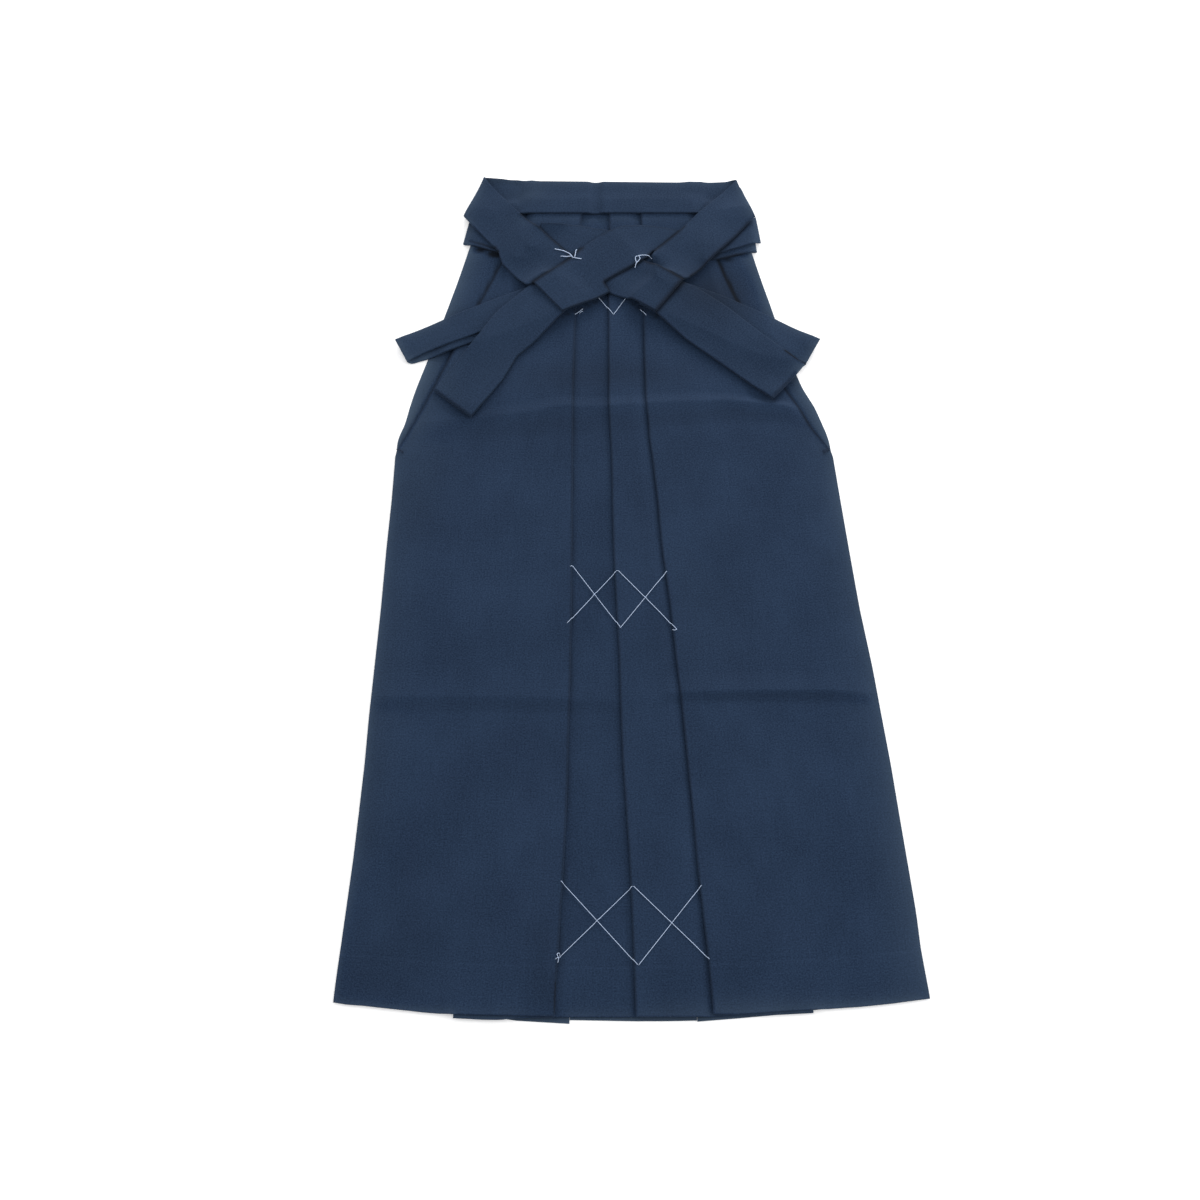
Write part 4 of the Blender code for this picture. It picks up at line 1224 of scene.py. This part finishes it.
# Light and shade are painted here into the third number of each piece's grain, with the patches of tone.
for piece in sewn:
    count = len(piece.data.vertices)
    place = np.empty(count * 3, np.float32)
    marks = np.empty(count * 3, np.float32)
    piece.data.vertices.foreach_get("co", place)
    piece.data.attributes["grain"].data.foreach_get("vector", marks)
    plan = (place.reshape(-1, 3) / MM - TO_CENTRE)[:, :2]
    at = (plan - PILE_CORNER) / CELL - 0.5
    i, j = np.floor(at).astype(int).T
    u, v = (at - np.floor(at)).T
    shade_map = shade_maps["tie_" if piece.name.startswith("tie_") else "cloth_"]
    marks = marks.reshape(-1, 3)
    # Painted shade: the darker of the piece's painted edge shade and the painted shade lines under it.
    near = np.maximum(marks[:, 2], read_map(shade_map, i, j, u, v))
    # Painted light: the colour is made paler along the garment's outline.
    painted_glow = read_map(painted_outline_glow, i, j, u, v)
    if piece.name.startswith("cloth_front"):
        from_left = plan[:, 0] - line_at("back_left", plan[:, 1])
        sides = np.minimum(from_left, line_at("back_right", plan[:, 1]) - plan[:, 0])
        # Painted light: a paler band along both sides of the front.
        painted_glow += 0.13 * (1.0 - ease(0.0, 60.0, sides)) * (1.0 - painted_glow)
        # Painted shade below the creases across the front.
        near += crease_shade(*plan.T, UPPER_CREASE) + crease_shade(*plan.T, LOWER_CREASE)
    # Painted light: the back's outline is painted paler still.
    if piece.name.startswith("cloth_back"):
        painted_glow = 1.4 * np.sqrt(painted_glow)
    # Above 0 the colour is painted darker, below 0 paler; the patches are added on top.
    marks[:, 2] = near * np.maximum(1.0 - painted_glow, 0.0) - PAINTED_GLOW_SHARE * painted_glow + tone_and_light_patches(*plan.T)
    piece.data.attributes["grain"].data.foreach_set("vector", marks.ravel())

# ---------------------------------------------------------------------------------------------
# Tie tacks: two short lengths of doubled basting cotton, sewn through the crossed ties and
# knotted, with their cut ends left loose on the cloth.
# ---------------------------------------------------------------------------------------------
TIE_TACK_PLY = 0.3
TIE_TACK_PITCH = 2.8
TIE_TACKS = {
    "tie_tack_left": (
        ((-81.6, 386.9), (-72.0, 384.6), (-64.9, 380.7), (-61.4, 373.8)),
        ((-61.4, 373.8), (-51.8, 372.3)),
        ((-75.2, 377.4), (-68.0, 376.4), (-61.6, 374.4)),
        ((-57.0, 388.5), (-58.2, 381.0), (-59.1, 373.8)),
    ),
    "tie_tack_right": (
        ((32.6, 375.6), (24.6, 377.6), (17.0, 378.2), (10.4, 376.8)),
        ((10.4, 376.8), (8.4, 374.6), (9.9, 368.0), (8.2, 363.0)),
        ((12.3, 377.5), (14.2, 373.0), (11.4, 369.0), (9.9, 367.4)),
    ),
}
for tack, stitches in TIE_TACKS.items():
    runs = [stitch(points, TIE_TACK_PLY, (k > 0, k == 0), 0.2) for k, points in enumerate(stitches)]
    twisted(tack, runs, TIE_TACK_PLY, basting_cotton, TIE_TACK_PITCH)

# ---------------------------------------------------------------------------------------------
# Studio: a sheet of white paper, which glows a little so that no fringe of shade shows on it. It is
# lit by a white room and three broad soft lamps: one beyond the waist, and one at each side.
# The camera looks down at the garment from its hem.
# ---------------------------------------------------------------------------------------------
paper = bpy.data.materials.new("studio_paper")
paper.use_nodes = True
paper_nodes, paper_links = paper.node_tree.nodes, paper.node_tree.links
paper_shader = paper_nodes["Principled BSDF"]
socket(paper_shader, "Roughness", 0.9)
socket(paper_shader, "Specular IOR Level", 0.1)
socket(paper_shader, "Emission Color", (1.0, 1.0, 1.0, 1.0))
socket(paper_shader, "Emission Strength", 0.25)
paper_fibre = paper_nodes.new("ShaderNodeTexNoise")
socket(paper_fibre, "Scale", 900.0)
paper_tone = paper_nodes.new("ShaderNodeValToRGB")
paper_tone.color_ramp.elements[0].color = (0.98, 0.98, 0.98, 1.0)
paper_tone.color_ramp.elements[1].color = (1.0, 1.0, 1.0, 1.0)
paper_links.new(paper_fibre.outputs["Fac"], paper_tone.inputs["Fac"])
paper_links.new(paper_tone.outputs["Color"], paper_shader.inputs["Base Color"])
floor_mesh = bpy.data.meshes.new("floor")
PAPER_HALF = 4.0
paper_corners = [(x * PAPER_HALF, y * PAPER_HALF, 0.0) for x, y in ((-1, -1), (1, -1), (1, 1), (-1, 1))]
floor_mesh.from_pydata(paper_corners, [], [(0, 1, 2, 3)])
floor_mesh.materials.append(paper)
floor = bpy.data.objects.new("floor", floor_mesh)
bpy.context.scene.collection.objects.link(floor)

room = bpy.data.worlds.new("white_room")
room.use_nodes = True
bpy.context.scene.world = room
ROOM_LIGHT = 0.785
room_light = room.node_tree.nodes["Background"]
socket(room_light, "Color", (1.0, 1.0, 1.0, 1.0))
socket(room_light, "Strength", ROOM_LIGHT)
LAMPS = {
    "waist_lamp": {"place": (0.7, 2.6, 0.95), "size": (1.6, 0.9), "watts": 47.0},
    "left_lamp": {"place": (-2.0, 0.2, 0.9), "size": (1.2, 0.8), "watts": 7.0},
    "right_lamp": {"place": (2.0, 0.0, 0.9), "size": (1.2, 0.8), "watts": 15.0},
}
for name, made in LAMPS.items():
    lamp_data = bpy.data.lights.new(name, "AREA")
    lamp_data.shape = "RECTANGLE"
    lamp_data.size, lamp_data.size_y = made["size"]
    lamp_data.energy = made["watts"]
    lamp = bpy.data.objects.new(name, lamp_data)
    lamp.location = made["place"]
    x, y, z = made["place"]
    lamp.rotation_euler = (math.atan2(math.hypot(x, y), z), 0.0, math.atan2(x, -y))
    bpy.context.scene.collection.objects.link(lamp)
bpy.context.scene.view_settings.view_transform = "Standard"

CAMERA_PLACE = (-0.030344, -0.973338, 1.993877)
CAMERA_TILT = 25.0
camera_data = bpy.data.cameras.new("camera")
camera_data.sensor_width = 36.0
camera_data.lens = 63.36
camera = bpy.data.objects.new("camera", camera_data)
camera.location = CAMERA_PLACE
camera.rotation_euler = (math.radians(CAMERA_TILT), 0.0, 0.0)
bpy.context.scene.collection.objects.link(camera)
bpy.context.scene.camera = camera
